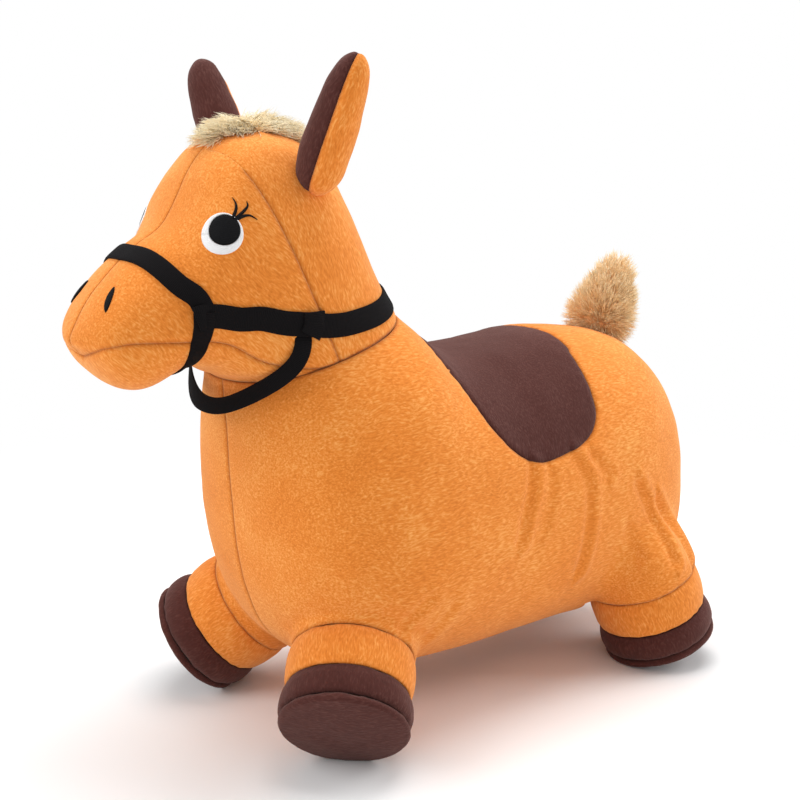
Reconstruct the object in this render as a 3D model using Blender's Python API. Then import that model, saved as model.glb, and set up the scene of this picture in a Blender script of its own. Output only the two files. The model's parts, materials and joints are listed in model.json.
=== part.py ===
"""Bouncy ride-on horse: a one-piece rubber air bladder inside a sewn plush cover.

Metres, +Z up. The horse faces -Y, its left side is +X, and its feet stand on Z = 0.
A section of the body is a rounded oval between a top point and a bottom point on the
middle plane, so a station lists those two points and a half width.
"""
import math

import bmesh
import bpy
from mathutils import Matrix, Vector
from mathutils.bvhtree import BVHTree

# Whole animal
TRUNK_REACH = 0.225
SEAT_HEIGHT = 0.280
TRUNK_HALF_WIDTH = 0.118
FULLNESS = 2.3
HEAD_LENGTH = 0.190
HEAD_RISE = 0.150
NECK_HALF_WIDTH = 0.071
AROUND = 16

# Plush, seams and running room
COVER = 0.003
SEAM_GAP = 0.0003
SEW_LIFT = 0.0005
WELD = 0.00001
LEVEL = 0.01
SHARP = 50.0
OVERRUN = 0.020
HUGE = 1.2

# Trunk from the rump forward, as shares of TRUNK_REACH, SEAT_HEIGHT and TRUNK_HALF_WIDTH
RUMP_TIP_SHARE = (1.0, 0.520)
TRUNK_SHARES = [
    # top y, top z, bottom y, bottom z, half width
    (0.970, 0.690, 1.006, 0.365, 0.300),
    (0.916, 0.806, 0.982, 0.250, 0.490),
    (0.840, 0.898, 0.924, 0.182, 0.640),
    (0.715, 0.970, 0.775, 0.137, 0.780),
    (0.550, 1.004, 0.577, 0.122, 0.885),
    (0.329, 1.014, 0.347, 0.120, 0.932),
    (0.133, 0.998, 0.124, 0.120, 0.950),
    (-0.009, 0.992, -0.111, 0.120, 0.958),
    (-0.089, 0.998, -0.333, 0.125, 0.983),
    (-0.147, 1.010, -0.556, 0.146, 1.000),
    (-0.186, 1.026, -0.710, 0.204, 1.000),
    (-0.220, 1.043, -0.812, 0.286, 0.990),
    (-0.252, 1.061, -0.873, 0.393, 0.970),
    (-0.280, 1.077, -0.907, 0.521, 0.930),
    (-0.303, 1.092, -0.926, 0.661, 0.865),
    (-0.323, 1.107, -0.937, 0.814, 0.770),
    (-0.337, 1.120, -0.943, 0.914, 0.680),
]
NECK_SEAM_BACK_SHARE = (-0.345, 1.130)
NECK_SEAM_FRONT_SHARE = (-0.948, 0.986)

# Neck and head from the neck seam up, measured from that seam's two points,
# as shares of HEAD_LENGTH, HEAD_RISE and NECK_HALF_WIDTH
HEAD_SHARES = [
    # top forward, top up, bottom forward, bottom up, half width
    (0.071, 0.151, 0.067, 0.040, 1.000),
    (0.131, 0.297, 0.098, 0.063, 1.000),
    (0.181, 0.451, 0.125, 0.080, 1.000),
    (0.241, 0.604, 0.151, 0.087, 0.993),
    (0.331, 0.771, 0.167, 0.093, 0.979),
    (0.439, 0.864, 0.183, 0.097, 0.951),
    (0.586, 0.898, 0.198, 0.100, 0.915),
    (0.723, 0.858, 0.219, 0.097, 0.880),
    (0.815, 0.741, 0.240, 0.087, 0.838),
    (0.886, 0.581, 0.266, 0.067, 0.789),
    (0.950, 0.471, 0.298, 0.047, 0.739),
    (1.038, 0.401, 0.346, 0.023, 0.697),
    (1.123, 0.323, 0.398, 0.020, 0.662),
    (1.194, 0.230, 0.456, 0.047, 0.613),
    (1.252, 0.139, 0.511, 0.107, 0.521),
    (1.286, 0.071, 0.563, 0.200, 0.338),
]
MUZZLE_TIP_SHARE = (0.600, 0.262)

# Neck cuff: the neck cover tucks inside the body cover so that it can nod
CUFF_DEPTH = 0.008
CUFF_GROOVE = 0.0065
CUFF_INSET = 0.0055

# Seams of the head cover, as planes through two points of the middle plane
CHEEK_SEAM_TOP_SHARE = (0.77, 0.82)
CHEEK_SEAM_FOOT_SHARE = (0.486, 0.02)
MOUTH_SEAM_NOSE_SHARE = (0.56, 0.23)
MOUTH_SEAM_THROAT_SHARE = (0.09, 0.19)

# Legs: centre of each sole and the way that the sole faces
FRONT_SOLE = (0.1063, -0.1831)
FRONT_TILT = 53.5
FRONT_HEADING = -43.3
REAR_SOLE = (0.0897, 0.1629)
REAR_TILT = 19.9
REAR_HEADING = 69.8
LEG_AROUND = 16
LOBE_AROUND = 10
SOLE_RADIUS = 0.0475
SOLE_LIP = 0.002
SOLE_SEAM_RADIUS = 0.0460
HOOF_RADIUS = 0.0480
BAND_RADIUS = 0.0465
SOLE_SEAM = 0.0055
HOOF_HEIGHT = 0.028
LEG_HEIGHT = 0.060
LEG_GROOVE = 0.0038
LEG_CUFF_DEPTH = 0.008
LEG_CUFF_INSET = 0.0030
LEG_ROOM = 0.0018
LEG_LEAN_ROOM = 0.0035
SOLE_CROWN = 0.0045
SHOULDER_SHARES = [(0.0, 1.0), (0.22, 1.08), (0.50, 1.05), (0.75, 0.84), (0.92, 0.50), (1.0, 0.0)]
SHOULDER_DEPTH = 0.075
SHOULDER_LIP = 0.0010
GROUND_FLAT = 0.0005

# Air bladder
BLADDER_GAP = 0.0004
BLADDER_WALL = 0.002

# Saddle panel outline seen from the side, as shares of TRUNK_REACH and SEAT_HEIGHT
SADDLE_SHARES = [
    (-0.265, 1.250), (-0.290, 1.040), (-0.238, 0.935), (-0.188, 0.841), (-0.105, 0.768),
    (0.003, 0.722), (0.101, 0.728), (0.231, 0.761), (0.304, 0.824), (0.324, 0.888),
    (0.352, 0.966), (0.385, 1.010), (0.400, 1.250),
]

# Ears
EAR_STATION = 5.52
EAR_ANGLE = 49.6
EAR_LENGTH = 0.099
EAR_HALF_WIDTH = 0.0185
EAR_HALF_DEPTH = 0.0175
EAR_LEAN = 31.0
EAR_SWEEP = -0.5
EAR_TURN = -50.0
EAR_PLUSH = 0.0025
EAR_HOLE_ROOM = 0.0008
EAR_FLOP = 11.0
EAR_AROUND = 12
EAR_SHARES = [(-0.15, 0.90), (0.06, 0.90), (0.2, 1.0), (0.4, 0.97), (0.6, 0.90), (0.78, 0.77), (0.92, 0.54)]

# Forelock
FORELOCK_STATIONS = (5.1, 8.4)
FORELOCK_HALF_WIDTH = 0.017
FORELOCK_HEIGHT = 0.013
FORELOCK_STEPS = 9

# Embroidered eye and nostril
EYE_STATION = 9.09
EYE_ANGLE = 68.5
EYE_AROUND = 16
EYE_WHITE_RADIUS = 0.0139
PUPIL_RADIUS = 0.0102
PUPIL_SHIFT = (0.0016, 0.0022)
STITCH_HEIGHT = 0.0008
STITCH_GAP = 0.0003
LASH_LENGTH = 0.0115
LASH_WIDTH = 0.0024
LASH_ROOT_GAP = 0.0006
LASH_BAND = 0.0010
LASH_STEPS = 4
LASH_ANGLES = (81.0, 60.0, 37.0)
NOSTRIL_STATION = 14.2
NOSTRIL_ANGLE = 30.0
NOSTRIL_HALF_HEIGHT = 0.0095
NOSTRIL_HALF_WIDTH = 0.0032

# Bridle webbing
WEB_THICKNESS = 0.0015
WEB_WIDTH = 0.015
NOSEBAND_WIDTH = 0.013
WEB_STEP = 0.008
NOSEBAND_PATH = [(12.5, 0.0), (12.38, 20.0), (12.1, 43.3), (11.56, 67.1), (10.95, 81.0)]
CHIN_PATH = [(9.5, 116.0), (9.21, 129.6), (8.85, 143.0), (8.5, 161.0), (8.35, 180.0)]
HEADSTALL_PATH = [(10.1, 104.0), (9.4, 106.5), (7.9, 113.5), (6.3, 118.5), (5.0, 114.0), (3.5, 107.3), (2.36, 97.1),
                  (1.5, 88.0), (1.1, 77.0), (0.82, 61.0), (0.70, 40.0), (0.66, 20.0), (0.65, 0.0)]
REIN_PATH = [(0.0, -0.1835, 0.328), (0.0, -0.1865, 0.317), (0.071, -0.1910, 0.300), (0.061, -0.2040, 0.2844),
             (0.042, -0.2167, 0.2712), (0.022, -0.2233, 0.2624), (0.0, -0.2258, 0.2594)]
REIN_CLEARANCE = 0.0041
REIN_WIDTH = 0.012

# Tail
TAIL_ROOT_SHARE = 0.72
TAIL_LENGTH = 0.073
TAIL_RADIUS = 0.022
TAIL_LEAN = 22.0
TAIL_PILE = 0.006
TAIL_HOLE_ROOM = 0.0008
TAIL_ROOT_RADIUS_SHARE = 0.50
TAIL_AROUND = 12
TAIL_SHARES = [(-0.14, 0.50), (0.07, 0.50), (0.16, 0.66), (0.30, 0.88), (0.52, 1.0), (0.74, 0.94),
               (0.90, 0.62)]

# Belly zip and valve
ZIP_FRONT = -0.075
ZIP_REAR = 0.090
ZIP_SLOT = 0.0110
ZIP_LIFT = 0.0003
TAPE_THICKNESS = 0.0010
TEETH_HEIGHT = 0.0020
TEETH_OUTER = 0.0023
TEETH_INNER = 0.0009
TEETH_OVERLAP = 0.0006
TEETH_PITCH = 0.0100
TEETH_PLAY = 0.0002
STOP_LENGTH = 0.003
SLIDER_LENGTH = 0.010
SLIDER_HALF_WIDTH = 0.00425
SLIDER_PLATE = 0.0012
SLIDER_PLAY = 0.0003
SLIDER_POST = (0.0012, 0.0025)
LUG_INNER = 0.0030
LUG_OUTER = 0.0040
LUG_HALF_LENGTH = 0.0015
LUG_DROP = 0.0062
PIN_RADIUS = 0.0008
PIN_DROP = 0.0052
PULL_LENGTH = 0.016
PULL_HALF_WIDTH = 0.0024
PULL_THICKNESS = 0.0012
PULL_EYE_RADIUS = 0.0022
PULL_PLAY = 0.00035
FINE_AROUND = 12
VALVE_PLACE_SHARE = 0.58
VALVE_SEAT_RADIUS = 0.010
VALVE_FLANGE_RADIUS = 0.013
VALVE_FLANGE_RISE = 0.0092
VALVE_TOP = 0.0107
VALVE_FOOT = 0.0010
VALVE_BORE = 0.0045
EYELET_RADIUS = 0.013
EYELET_INNER = 0.0107
EYELET_HEIGHTS = (-0.0004, 0.0026)
PLUG_HEAD_RADIUS = 0.0065
PLUG_HEAD_HALF = 0.0006
PLUG_LENGTH = 0.0085

MATERIALS = {
    "orange_plush": ((0.82, 0.36, 0.08), 0.85, 0.0),
    "brown_plush": ((0.09, 0.035, 0.025), 0.85, 0.0),
    "tan_fur": ((0.72, 0.50, 0.28), 0.9, 0.0),
    "black_webbing": ((0.012, 0.012, 0.013), 0.75, 0.0),
    "white_thread": ((0.85, 0.85, 0.83), 0.7, 0.0),
    "black_thread": ((0.01, 0.01, 0.01), 0.6, 0.0),
    "bladder_rubber": ((0.75, 0.32, 0.08), 0.5, 0.0),
    "valve_plastic": ((0.85, 0.85, 0.82), 0.4, 0.0),
    "zip_tape": ((0.55, 0.22, 0.06), 0.8, 0.0),
    "zip_metal": ((0.55, 0.54, 0.52), 0.35, 0.9),
    "stuffing": ((0.9, 0.9, 0.88), 0.95, 0.0),
}


def material(name):
    """The named finish, made on first use."""
    found = bpy.data.materials.get(name)
    if found:
        return found
    colour, roughness, metallic = MATERIALS[name]
    made = bpy.data.materials.new(name)
    made.use_nodes = True
    shader = made.node_tree.nodes["Principled BSDF"]
    shader.inputs["Base Color"].default_value = (*colour, 1.0)
    shader.inputs["Roughness"].default_value = roughness
    shader.inputs["Metallic"].default_value = metallic
    made.diffuse_color = (*colour, 1.0)
    return made


def to_object(bm, name):
    """Turns a bmesh into a linked object with flat, outward faces."""
    bmesh.ops.recalc_face_normals(bm, faces=bm.faces)
    bmesh.ops.triangulate(bm, faces=bm.faces)
    mesh = bpy.data.meshes.new(name)
    bm.to_mesh(mesh)
    bm.free()
    made = bpy.data.objects.new(name, mesh)
    bpy.context.collection.objects.link(made)
    return made


def copy_of(source, name):
    made = bpy.data.objects.new(name, source.data.copy())
    bpy.context.collection.objects.link(made)
    return made


def remove(*things):
    for thing in things:
        bpy.data.objects.remove(thing)


def combine(target, other, operation, keep=False):
    """Applies one Boolean, clears its slivers and removes the other solid unless it is kept."""
    step = target.modifiers.new(operation.lower(), "BOOLEAN")
    step.operation = operation
    step.solver = "EXACT"
    step.object = other
    bpy.context.view_layer.update()
    evaluated = target.evaluated_get(bpy.context.evaluated_depsgraph_get())
    result = bpy.data.meshes.new_from_object(evaluated)
    target.modifiers.clear()
    target.data = result
    tidy(target)
    if not keep:
        remove(other)
    return target


def tidy(thing):
    """Welds points that a Boolean left closer than WELD and drops the faces that this empties."""
    bm = bmesh.new()
    bm.from_mesh(thing.data)
    bmesh.ops.remove_doubles(bm, verts=bm.verts, dist=WELD)
    bmesh.ops.dissolve_degenerate(bm, edges=bm.edges, dist=WELD)
    bmesh.ops.triangulate(bm, faces=bm.faces)
    bm.to_mesh(thing.data)
    bm.free()


def finish(thing, name, finish_name):
    """Names a finished solid, joins its level triangles and gives it its material."""
    thing.name = name
    bm = bmesh.new()
    bm.from_mesh(thing.data)
    bmesh.ops.dissolve_limit(bm, angle_limit=LEVEL, verts=bm.verts, edges=bm.edges)
    bm.to_mesh(thing.data)
    bm.free()
    tidy(thing)
    thing.data.shade_smooth()
    thing.data.set_sharp_from_angle(angle=math.radians(SHARP))
    thing.data.materials.clear()
    thing.data.materials.append(material(finish_name))
    return thing


def mirrored(source, name):
    """The right-hand copy of a finished left-hand solid."""
    made = copy_of(source, name)
    made.data.transform(MIRROR)
    made.data.flip_normals()
    return made


def box(low, high, name="box"):
    bm = bmesh.new()
    bmesh.ops.create_cube(bm, size=1.0)
    for vert in bm.verts:
        vert.co = Vector([low[i] if vert.co[i] < 0 else high[i] for i in range(3)])
    return to_object(bm, name)


def half_space(point, normal, name="half_space"):
    """A large block whose face passes through the point and which lies on the normal's side."""
    bm = bmesh.new()
    bmesh.ops.create_cube(bm, size=HUGE)
    turn = Vector((0, 0, 1)).rotation_difference(Vector(normal).normalized()).to_matrix().to_4x4()
    place = Matrix.Translation(point) @ turn @ Matrix.Translation((0, 0, HUGE / 2))
    bmesh.ops.transform(bm, matrix=place, verts=bm.verts)
    return to_object(bm, name)


def prism(outline, low, high, name="prism"):
    """A side-view outline in Y and Z drawn out along X."""
    bm = bmesh.new()
    face = bm.faces.new([bm.verts.new((low, y, z)) for y, z in outline])
    drawn = bmesh.ops.extrude_face_region(bm, geom=[face])
    moved = [item for item in drawn["geom"] if isinstance(item, bmesh.types.BMVert)]
    bmesh.ops.translate(bm, vec=(high - low, 0, 0), verts=moved)
    return to_object(bm, name)


def shares_to_points(shares, along, up):
    return [(y * along, z * up) for y, z in shares]


# The loft through the body stations

def section_point(station, angle, fullness):
    """A point of one oval section; angle 0 is the top and positive angles go to +X."""
    top_y, top_z, bottom_y, bottom_z, half_width = station
    power = 2 / fullness
    across = math.copysign(abs(math.sin(angle)) ** power, math.sin(angle))
    along = math.copysign(abs(math.cos(angle)) ** power, math.cos(angle))
    middle = Vector((0, (top_y + bottom_y) / 2, (top_z + bottom_z) / 2))
    half = Vector((0, (top_y - bottom_y) / 2, (top_z - bottom_z) / 2))
    return middle + half * along + Vector((half_width * across, 0, 0))


def loft(stations, fullness, depth, start_tip=None, end_tip=None, around=AROUND, name="loft"):
    """A closed skin over the stations, moved inwards by depth; an end has a tip or a flat cap."""
    bm = bmesh.new()
    turns = [2 * math.pi * k / around for k in range(around)]
    rings = [[bm.verts.new(section_point(station, turn, fullness)) for turn in turns] for station in stations]
    for first, second in zip(rings, rings[1:]):
        for k in range(around):
            nxt = (k + 1) % around
            bm.faces.new((first[k], first[nxt], second[nxt], second[k]))
    for tip, ring in ((start_tip, rings[0]), (end_tip, rings[-1])):
        if tip:
            pole = bm.verts.new((0, *tip))
            for k in range(around):
                bm.faces.new((ring[k], ring[(k + 1) % around], pole))
    bmesh.ops.recalc_face_normals(bm, faces=bm.faces)
    bm.normal_update()
    if depth:
        centre = sum((v.co for v in bm.verts), Vector()) / len(bm.verts)
        sign = 1 if sum(f.normal.dot(f.calc_center_median() - centre) for f in bm.faces) > 0 else -1
        for vert, normal in [(v, v.normal.copy()) for v in bm.verts]:
            vert.co -= normal * depth * sign
    for tip, ring in ((start_tip, rings[0]), (end_tip, rings[-1])):
        if not tip:
            bm.faces.new(ring)
    return to_object(bm, name)


def inset_station(station, inset, shift):
    """A station drawn in all round by inset and moved by the vector shift (y, z)."""
    top = Vector(station[0:2])
    bottom = Vector(station[2:4])
    inwards = (bottom - top).normalized() * inset
    top = top + inwards + Vector(shift)
    bottom = bottom - inwards + Vector(shift)
    return (*top, *bottom, station[4] - inset)


NECK_BACK = Vector((NECK_SEAM_BACK_SHARE[0] * TRUNK_REACH, NECK_SEAM_BACK_SHARE[1] * SEAT_HEIGHT))
NECK_FRONT = Vector((NECK_SEAM_FRONT_SHARE[0] * TRUNK_REACH, NECK_SEAM_FRONT_SHARE[1] * SEAT_HEIGHT))
NECK_SEAM = (*NECK_BACK, *NECK_FRONT, NECK_HALF_WIDTH)
NECK_CENTRE = (NECK_BACK + NECK_FRONT) / 2
NECK_SLOPE = (NECK_BACK - NECK_FRONT).normalized()
NECK_UP = Vector((-NECK_SLOPE[1], NECK_SLOPE[0]))

TRUNK_STATIONS = [
    (ty * TRUNK_REACH, tz * SEAT_HEIGHT, by * TRUNK_REACH, bz * SEAT_HEIGHT, w * TRUNK_HALF_WIDTH)
    for ty, tz, by, bz, w in TRUNK_SHARES
] + [NECK_SEAM]
RUMP_TIP = (RUMP_TIP_SHARE[0] * TRUNK_REACH, RUMP_TIP_SHARE[1] * SEAT_HEIGHT)


def head_place(share, foot=NECK_BACK):
    return foot + Vector((-share[0] * HEAD_LENGTH, share[1] * HEAD_RISE))


HEAD_STATIONS = [NECK_SEAM] + [
    (*head_place((ty, tz)), *head_place((by, bz), NECK_FRONT), w * NECK_HALF_WIDTH)
    for ty, tz, by, bz, w in HEAD_SHARES
]
MUZZLE_TIP = tuple(head_place(MUZZLE_TIP_SHARE, NECK_FRONT))


def head_point(station, angle):
    """A point of the head skin at a fractional station number."""
    index = max(0, min(int(station), len(HEAD_STATIONS) - 2))
    first = section_point(HEAD_STATIONS[index], math.radians(angle), FULLNESS)
    second = section_point(HEAD_STATIONS[index + 1], math.radians(angle), FULLNESS)
    return first.lerp(second, station - index)


def head_normal(station, angle):
    """The outward direction of the head skin, from short steps either way."""
    along = head_point(station + 0.3, angle) - head_point(station - 0.3, angle)
    across = head_point(station, angle + 4) - head_point(station, angle - 4)
    normal = across.cross(along).normalized()
    centre = head_point(station, 0).lerp(head_point(station, 180), 0.5)
    return normal if normal.dot(head_point(station, angle) - centre) > 0 else -normal


def trunk_form(depth, open_neck=0.0):
    """The trunk's skin moved inwards by depth; open_neck carries it on past the neck seam."""
    stations = list(TRUNK_STATIONS)
    if open_neck:
        stations.append(inset_station(NECK_SEAM, 0, NECK_UP * open_neck))
    return loft(stations, FULLNESS, depth, start_tip=RUMP_TIP, name="trunk_form")


def head_form(depth, foot=0.0):
    """Neck and head, with the cuff that tucks into the body cover; foot lengthens the cuff downwards."""
    cuff = [inset_station(NECK_SEAM, CUFF_INSET, NECK_UP * (-CUFF_DEPTH - foot)),
            inset_station(NECK_SEAM, CUFF_INSET, NECK_UP * CUFF_GROOVE),
            inset_station(NECK_SEAM, 0, NECK_UP * (CUFF_GROOVE + SEAM_GAP))]
    return loft(cuff + HEAD_STATIONS[1:], FULLNESS, depth, end_tip=MUZZLE_TIP, name="head_form")


# Legs

SOLE_PROFILE = [(0, -SOLE_CROWN), (SOLE_RADIUS * 0.55, -SOLE_CROWN * 0.85),
                (SOLE_RADIUS * 0.90, -SOLE_CROWN * 0.35), (SOLE_RADIUS, SOLE_LIP),
                (SOLE_SEAM_RADIUS, SOLE_SEAM - SEAM_GAP / 2)]


def leg_frame(sole, tilt, heading):
    """Maps a left leg's own axis, up from the sole, to the world; its lowest flat is just under the floor."""
    tilt, heading = math.radians(tilt), math.radians(heading)
    up = Vector((-math.sin(tilt) * math.cos(heading), -math.sin(tilt) * math.sin(heading), math.cos(tilt)))
    down = (Vector((0, 0, -1)) + up * up[2]).normalized()
    turn = Matrix((down, up.cross(down), up)).transposed().to_4x4()
    half_step = math.pi / LEG_AROUND
    reach = max(radius * math.cos(half_step) * math.sin(tilt) - height * math.cos(tilt)
                for radius, height in SOLE_PROFILE)
    place = Matrix.Translation((*sole, reach - GROUND_FLAT))
    return place @ turn @ Matrix.Rotation(half_step, 4, "Z")


def turned(profile, frame, around, name, closed=False):
    """Spins a profile of (radius, height) about the frame's own Z axis."""
    bm = bmesh.new()
    verts = [bm.verts.new((radius, 0, height)) for radius, height in profile]
    edges = [bm.edges.new(pair) for pair in zip(verts, verts[1:])]
    if closed:
        edges.append(bm.edges.new((verts[-1], verts[0])))
    bmesh.ops.spin(bm, geom=verts + edges, axis=(0, 0, 1), cent=(0, 0, 0), steps=around,
                   angle=2 * math.pi, use_merge=True)
    bmesh.ops.remove_doubles(bm, verts=bm.verts, dist=WELD)
    bmesh.ops.transform(bm, matrix=frame, verts=bm.verts)
    return to_object(bm, name)


MIRROR = Matrix.Diagonal((-1, 1, 1, 1))
LEGS = {
    "front_left": leg_frame(FRONT_SOLE, FRONT_TILT, FRONT_HEADING),
    "front_right": MIRROR @ leg_frame(FRONT_SOLE, FRONT_TILT, FRONT_HEADING),
    "rear_left": leg_frame(REAR_SOLE, REAR_TILT, REAR_HEADING),
    "rear_right": MIRROR @ leg_frame(REAR_SOLE, REAR_TILT, REAR_HEADING),
}
LEG_TOP = LEG_HEIGHT + LEG_CUFF_DEPTH
CUFF_RADIUS = BAND_RADIUS - LEG_CUFF_INSET
PASSAGE_RADIUS = CUFF_RADIUS + LEG_ROOM
LOBE_TOP = LEG_TOP + LEG_CUFF_DEPTH * 2


def shoulder(frame, depth):
    """The rounded stump of the body cover that a leg comes out of."""
    foot = PASSAGE_RADIUS + COVER + SHOULDER_LIP
    profile = [(0, LEG_HEIGHT + depth)]
    for height, share in SHOULDER_SHARES:
        radius = max(foot * share - depth, 0)
        profile.append((radius, LEG_HEIGHT + depth + (SHOULDER_DEPTH - 2 * depth) * height))
    return turned(profile, frame, LEG_AROUND, "shoulder")


def passage(frame, extra, top):
    """The clear way of a leg: wide below the seam, where the leg leans, and closer round its cuff."""
    wide, close = HOOF_RADIUS + LEG_LEAN_ROOM + extra, PASSAGE_RADIUS + extra
    step = LEG_HEIGHT + extra
    profile = [(0, -OVERRUN), (wide, -OVERRUN), (wide, step), (close, step), (close, top), (0, top)]
    return turned(profile, frame, LEG_AROUND, "passage")


def lobe(frame, depth):
    """The bladder's leg lobe, inside the leg's covers."""
    inset = COVER + 2 * BLADDER_GAP + depth
    profile = [(0, SOLE_SEAM + depth), (SOLE_RADIUS - 2 * inset, SOLE_SEAM + depth),
               (BAND_RADIUS - inset, HOOF_HEIGHT), (CUFF_RADIUS - inset, LEG_HEIGHT - LEG_GROOVE - COVER),
               (CUFF_RADIUS - inset, LOBE_TOP), (0, LOBE_TOP + LEG_CUFF_DEPTH)]
    return turned(profile, frame, LOBE_AROUND, "lobe")


def build_bladder():
    """One closed rubber wall: trunk, neck, head and four leg lobes, open only at the valve."""
    forms = []
    for depth in (0.0, BLADDER_WALL):
        inset = COVER + BLADDER_GAP + depth
        form = trunk_form(inset)
        for frame in LEGS.values():
            combine(form, passage(frame, depth, LEG_TOP + COVER + depth), "DIFFERENCE")
        floor = NECK_CENTRE - NECK_UP * (CUFF_DEPTH + COVER / 2 + depth)
        combine(form, half_space((0, *floor), (0, *NECK_UP)), "DIFFERENCE")
        combine(form, head_form(inset, foot=OVERRUN), "UNION")
        for frame in LEGS.values():
            combine(form, lobe(frame, depth), "UNION")
        forms.append(form)
    skin, hollow = forms
    combine(skin, hollow, "DIFFERENCE")
    combine(skin, valve_cylinder(VALVE_SEAT_RADIUS + SEAM_GAP), "DIFFERENCE")
    return finish(skin, "air_bladder", "bladder_rubber")


BELLY_Z = 0.120 * SEAT_HEIGHT
VALVE_Y = VALVE_PLACE_SHARE * TRUNK_REACH


def valve_cylinder(radius):
    frame = Matrix.Translation((0, VALVE_Y, BELLY_Z))
    way = [(0, -OVERRUN), (radius, -OVERRUN), (radius, OVERRUN), (0, OVERRUN)]
    return turned(way, frame, LEG_AROUND, "valve_way")


def build_valve():
    """A rubber seat in the bladder's wall, its pull-out plug, and the stitched eyelet round it."""
    for first, second in zip(TRUNK_SHARES, TRUNK_SHARES[1:]):
        if second[2] <= VALVE_PLACE_SHARE <= first[2]:
            part = (VALVE_PLACE_SHARE - first[2]) / (second[2] - first[2])
            height = (first[3] + (second[3] - first[3]) * part) * SEAT_HEIGHT
    frame = Matrix.Translation((0, VALVE_Y, height))
    seat = [(VALVE_BORE, VALVE_FOOT), (VALVE_SEAT_RADIUS, VALVE_FOOT),
            (VALVE_SEAT_RADIUS, VALVE_FLANGE_RISE), (VALVE_FLANGE_RADIUS, VALVE_FLANGE_RISE),
            (VALVE_FLANGE_RADIUS, VALVE_TOP), (VALVE_BORE, VALVE_TOP)]
    finish(turned(seat, frame, LEG_AROUND, "seat", closed=True), "valve_seat", "bladder_rubber")
    stem = VALVE_BORE - SEAM_GAP
    plug = [(0, -PLUG_HEAD_HALF), (PLUG_HEAD_RADIUS, -PLUG_HEAD_HALF), (PLUG_HEAD_RADIUS, PLUG_HEAD_HALF),
            (stem, PLUG_HEAD_HALF), (stem, PLUG_LENGTH), (0, PLUG_LENGTH)]
    finish(turned(plug, frame, LEG_AROUND, "plug"), "valve_plug", "valve_plastic")
    low, high = EYELET_HEIGHTS
    rim = EYELET_RADIUS - SEAM_GAP
    ring = [(EYELET_INNER, low), (rim, low), (rim, high), (EYELET_INNER, high)]
    finish(turned(ring, frame, LEG_AROUND, "ring", closed=True), "valve_eyelet", "orange_plush")


def comb(start, end):
    """The plan outline, in X and Y, of the left row of teeth."""
    points = [(TEETH_OUTER, end), (TEETH_OUTER, start),
              (TEETH_INNER, start), (TEETH_INNER, start + TEETH_PLAY)]
    place = start
    while place + TEETH_PITCH / 2 <= end:
        tooth_end = place + TEETH_PITCH / 2 - TEETH_PLAY
        points += [(-TEETH_OVERLAP, place + TEETH_PLAY), (-TEETH_OVERLAP, tooth_end),
                   (TEETH_INNER, tooth_end), (TEETH_INNER, place + TEETH_PITCH)]
        place += TEETH_PITCH
    points[-1] = (TEETH_INNER, end)
    return points


def slider_place():
    """The middle of the slider at the closed end of the zip."""
    return Vector((0, ZIP_FRONT + STOP_LENGTH + SEAM_GAP + SLIDER_LENGTH / 2, BELLY_Z + ZIP_LIFT))


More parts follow.
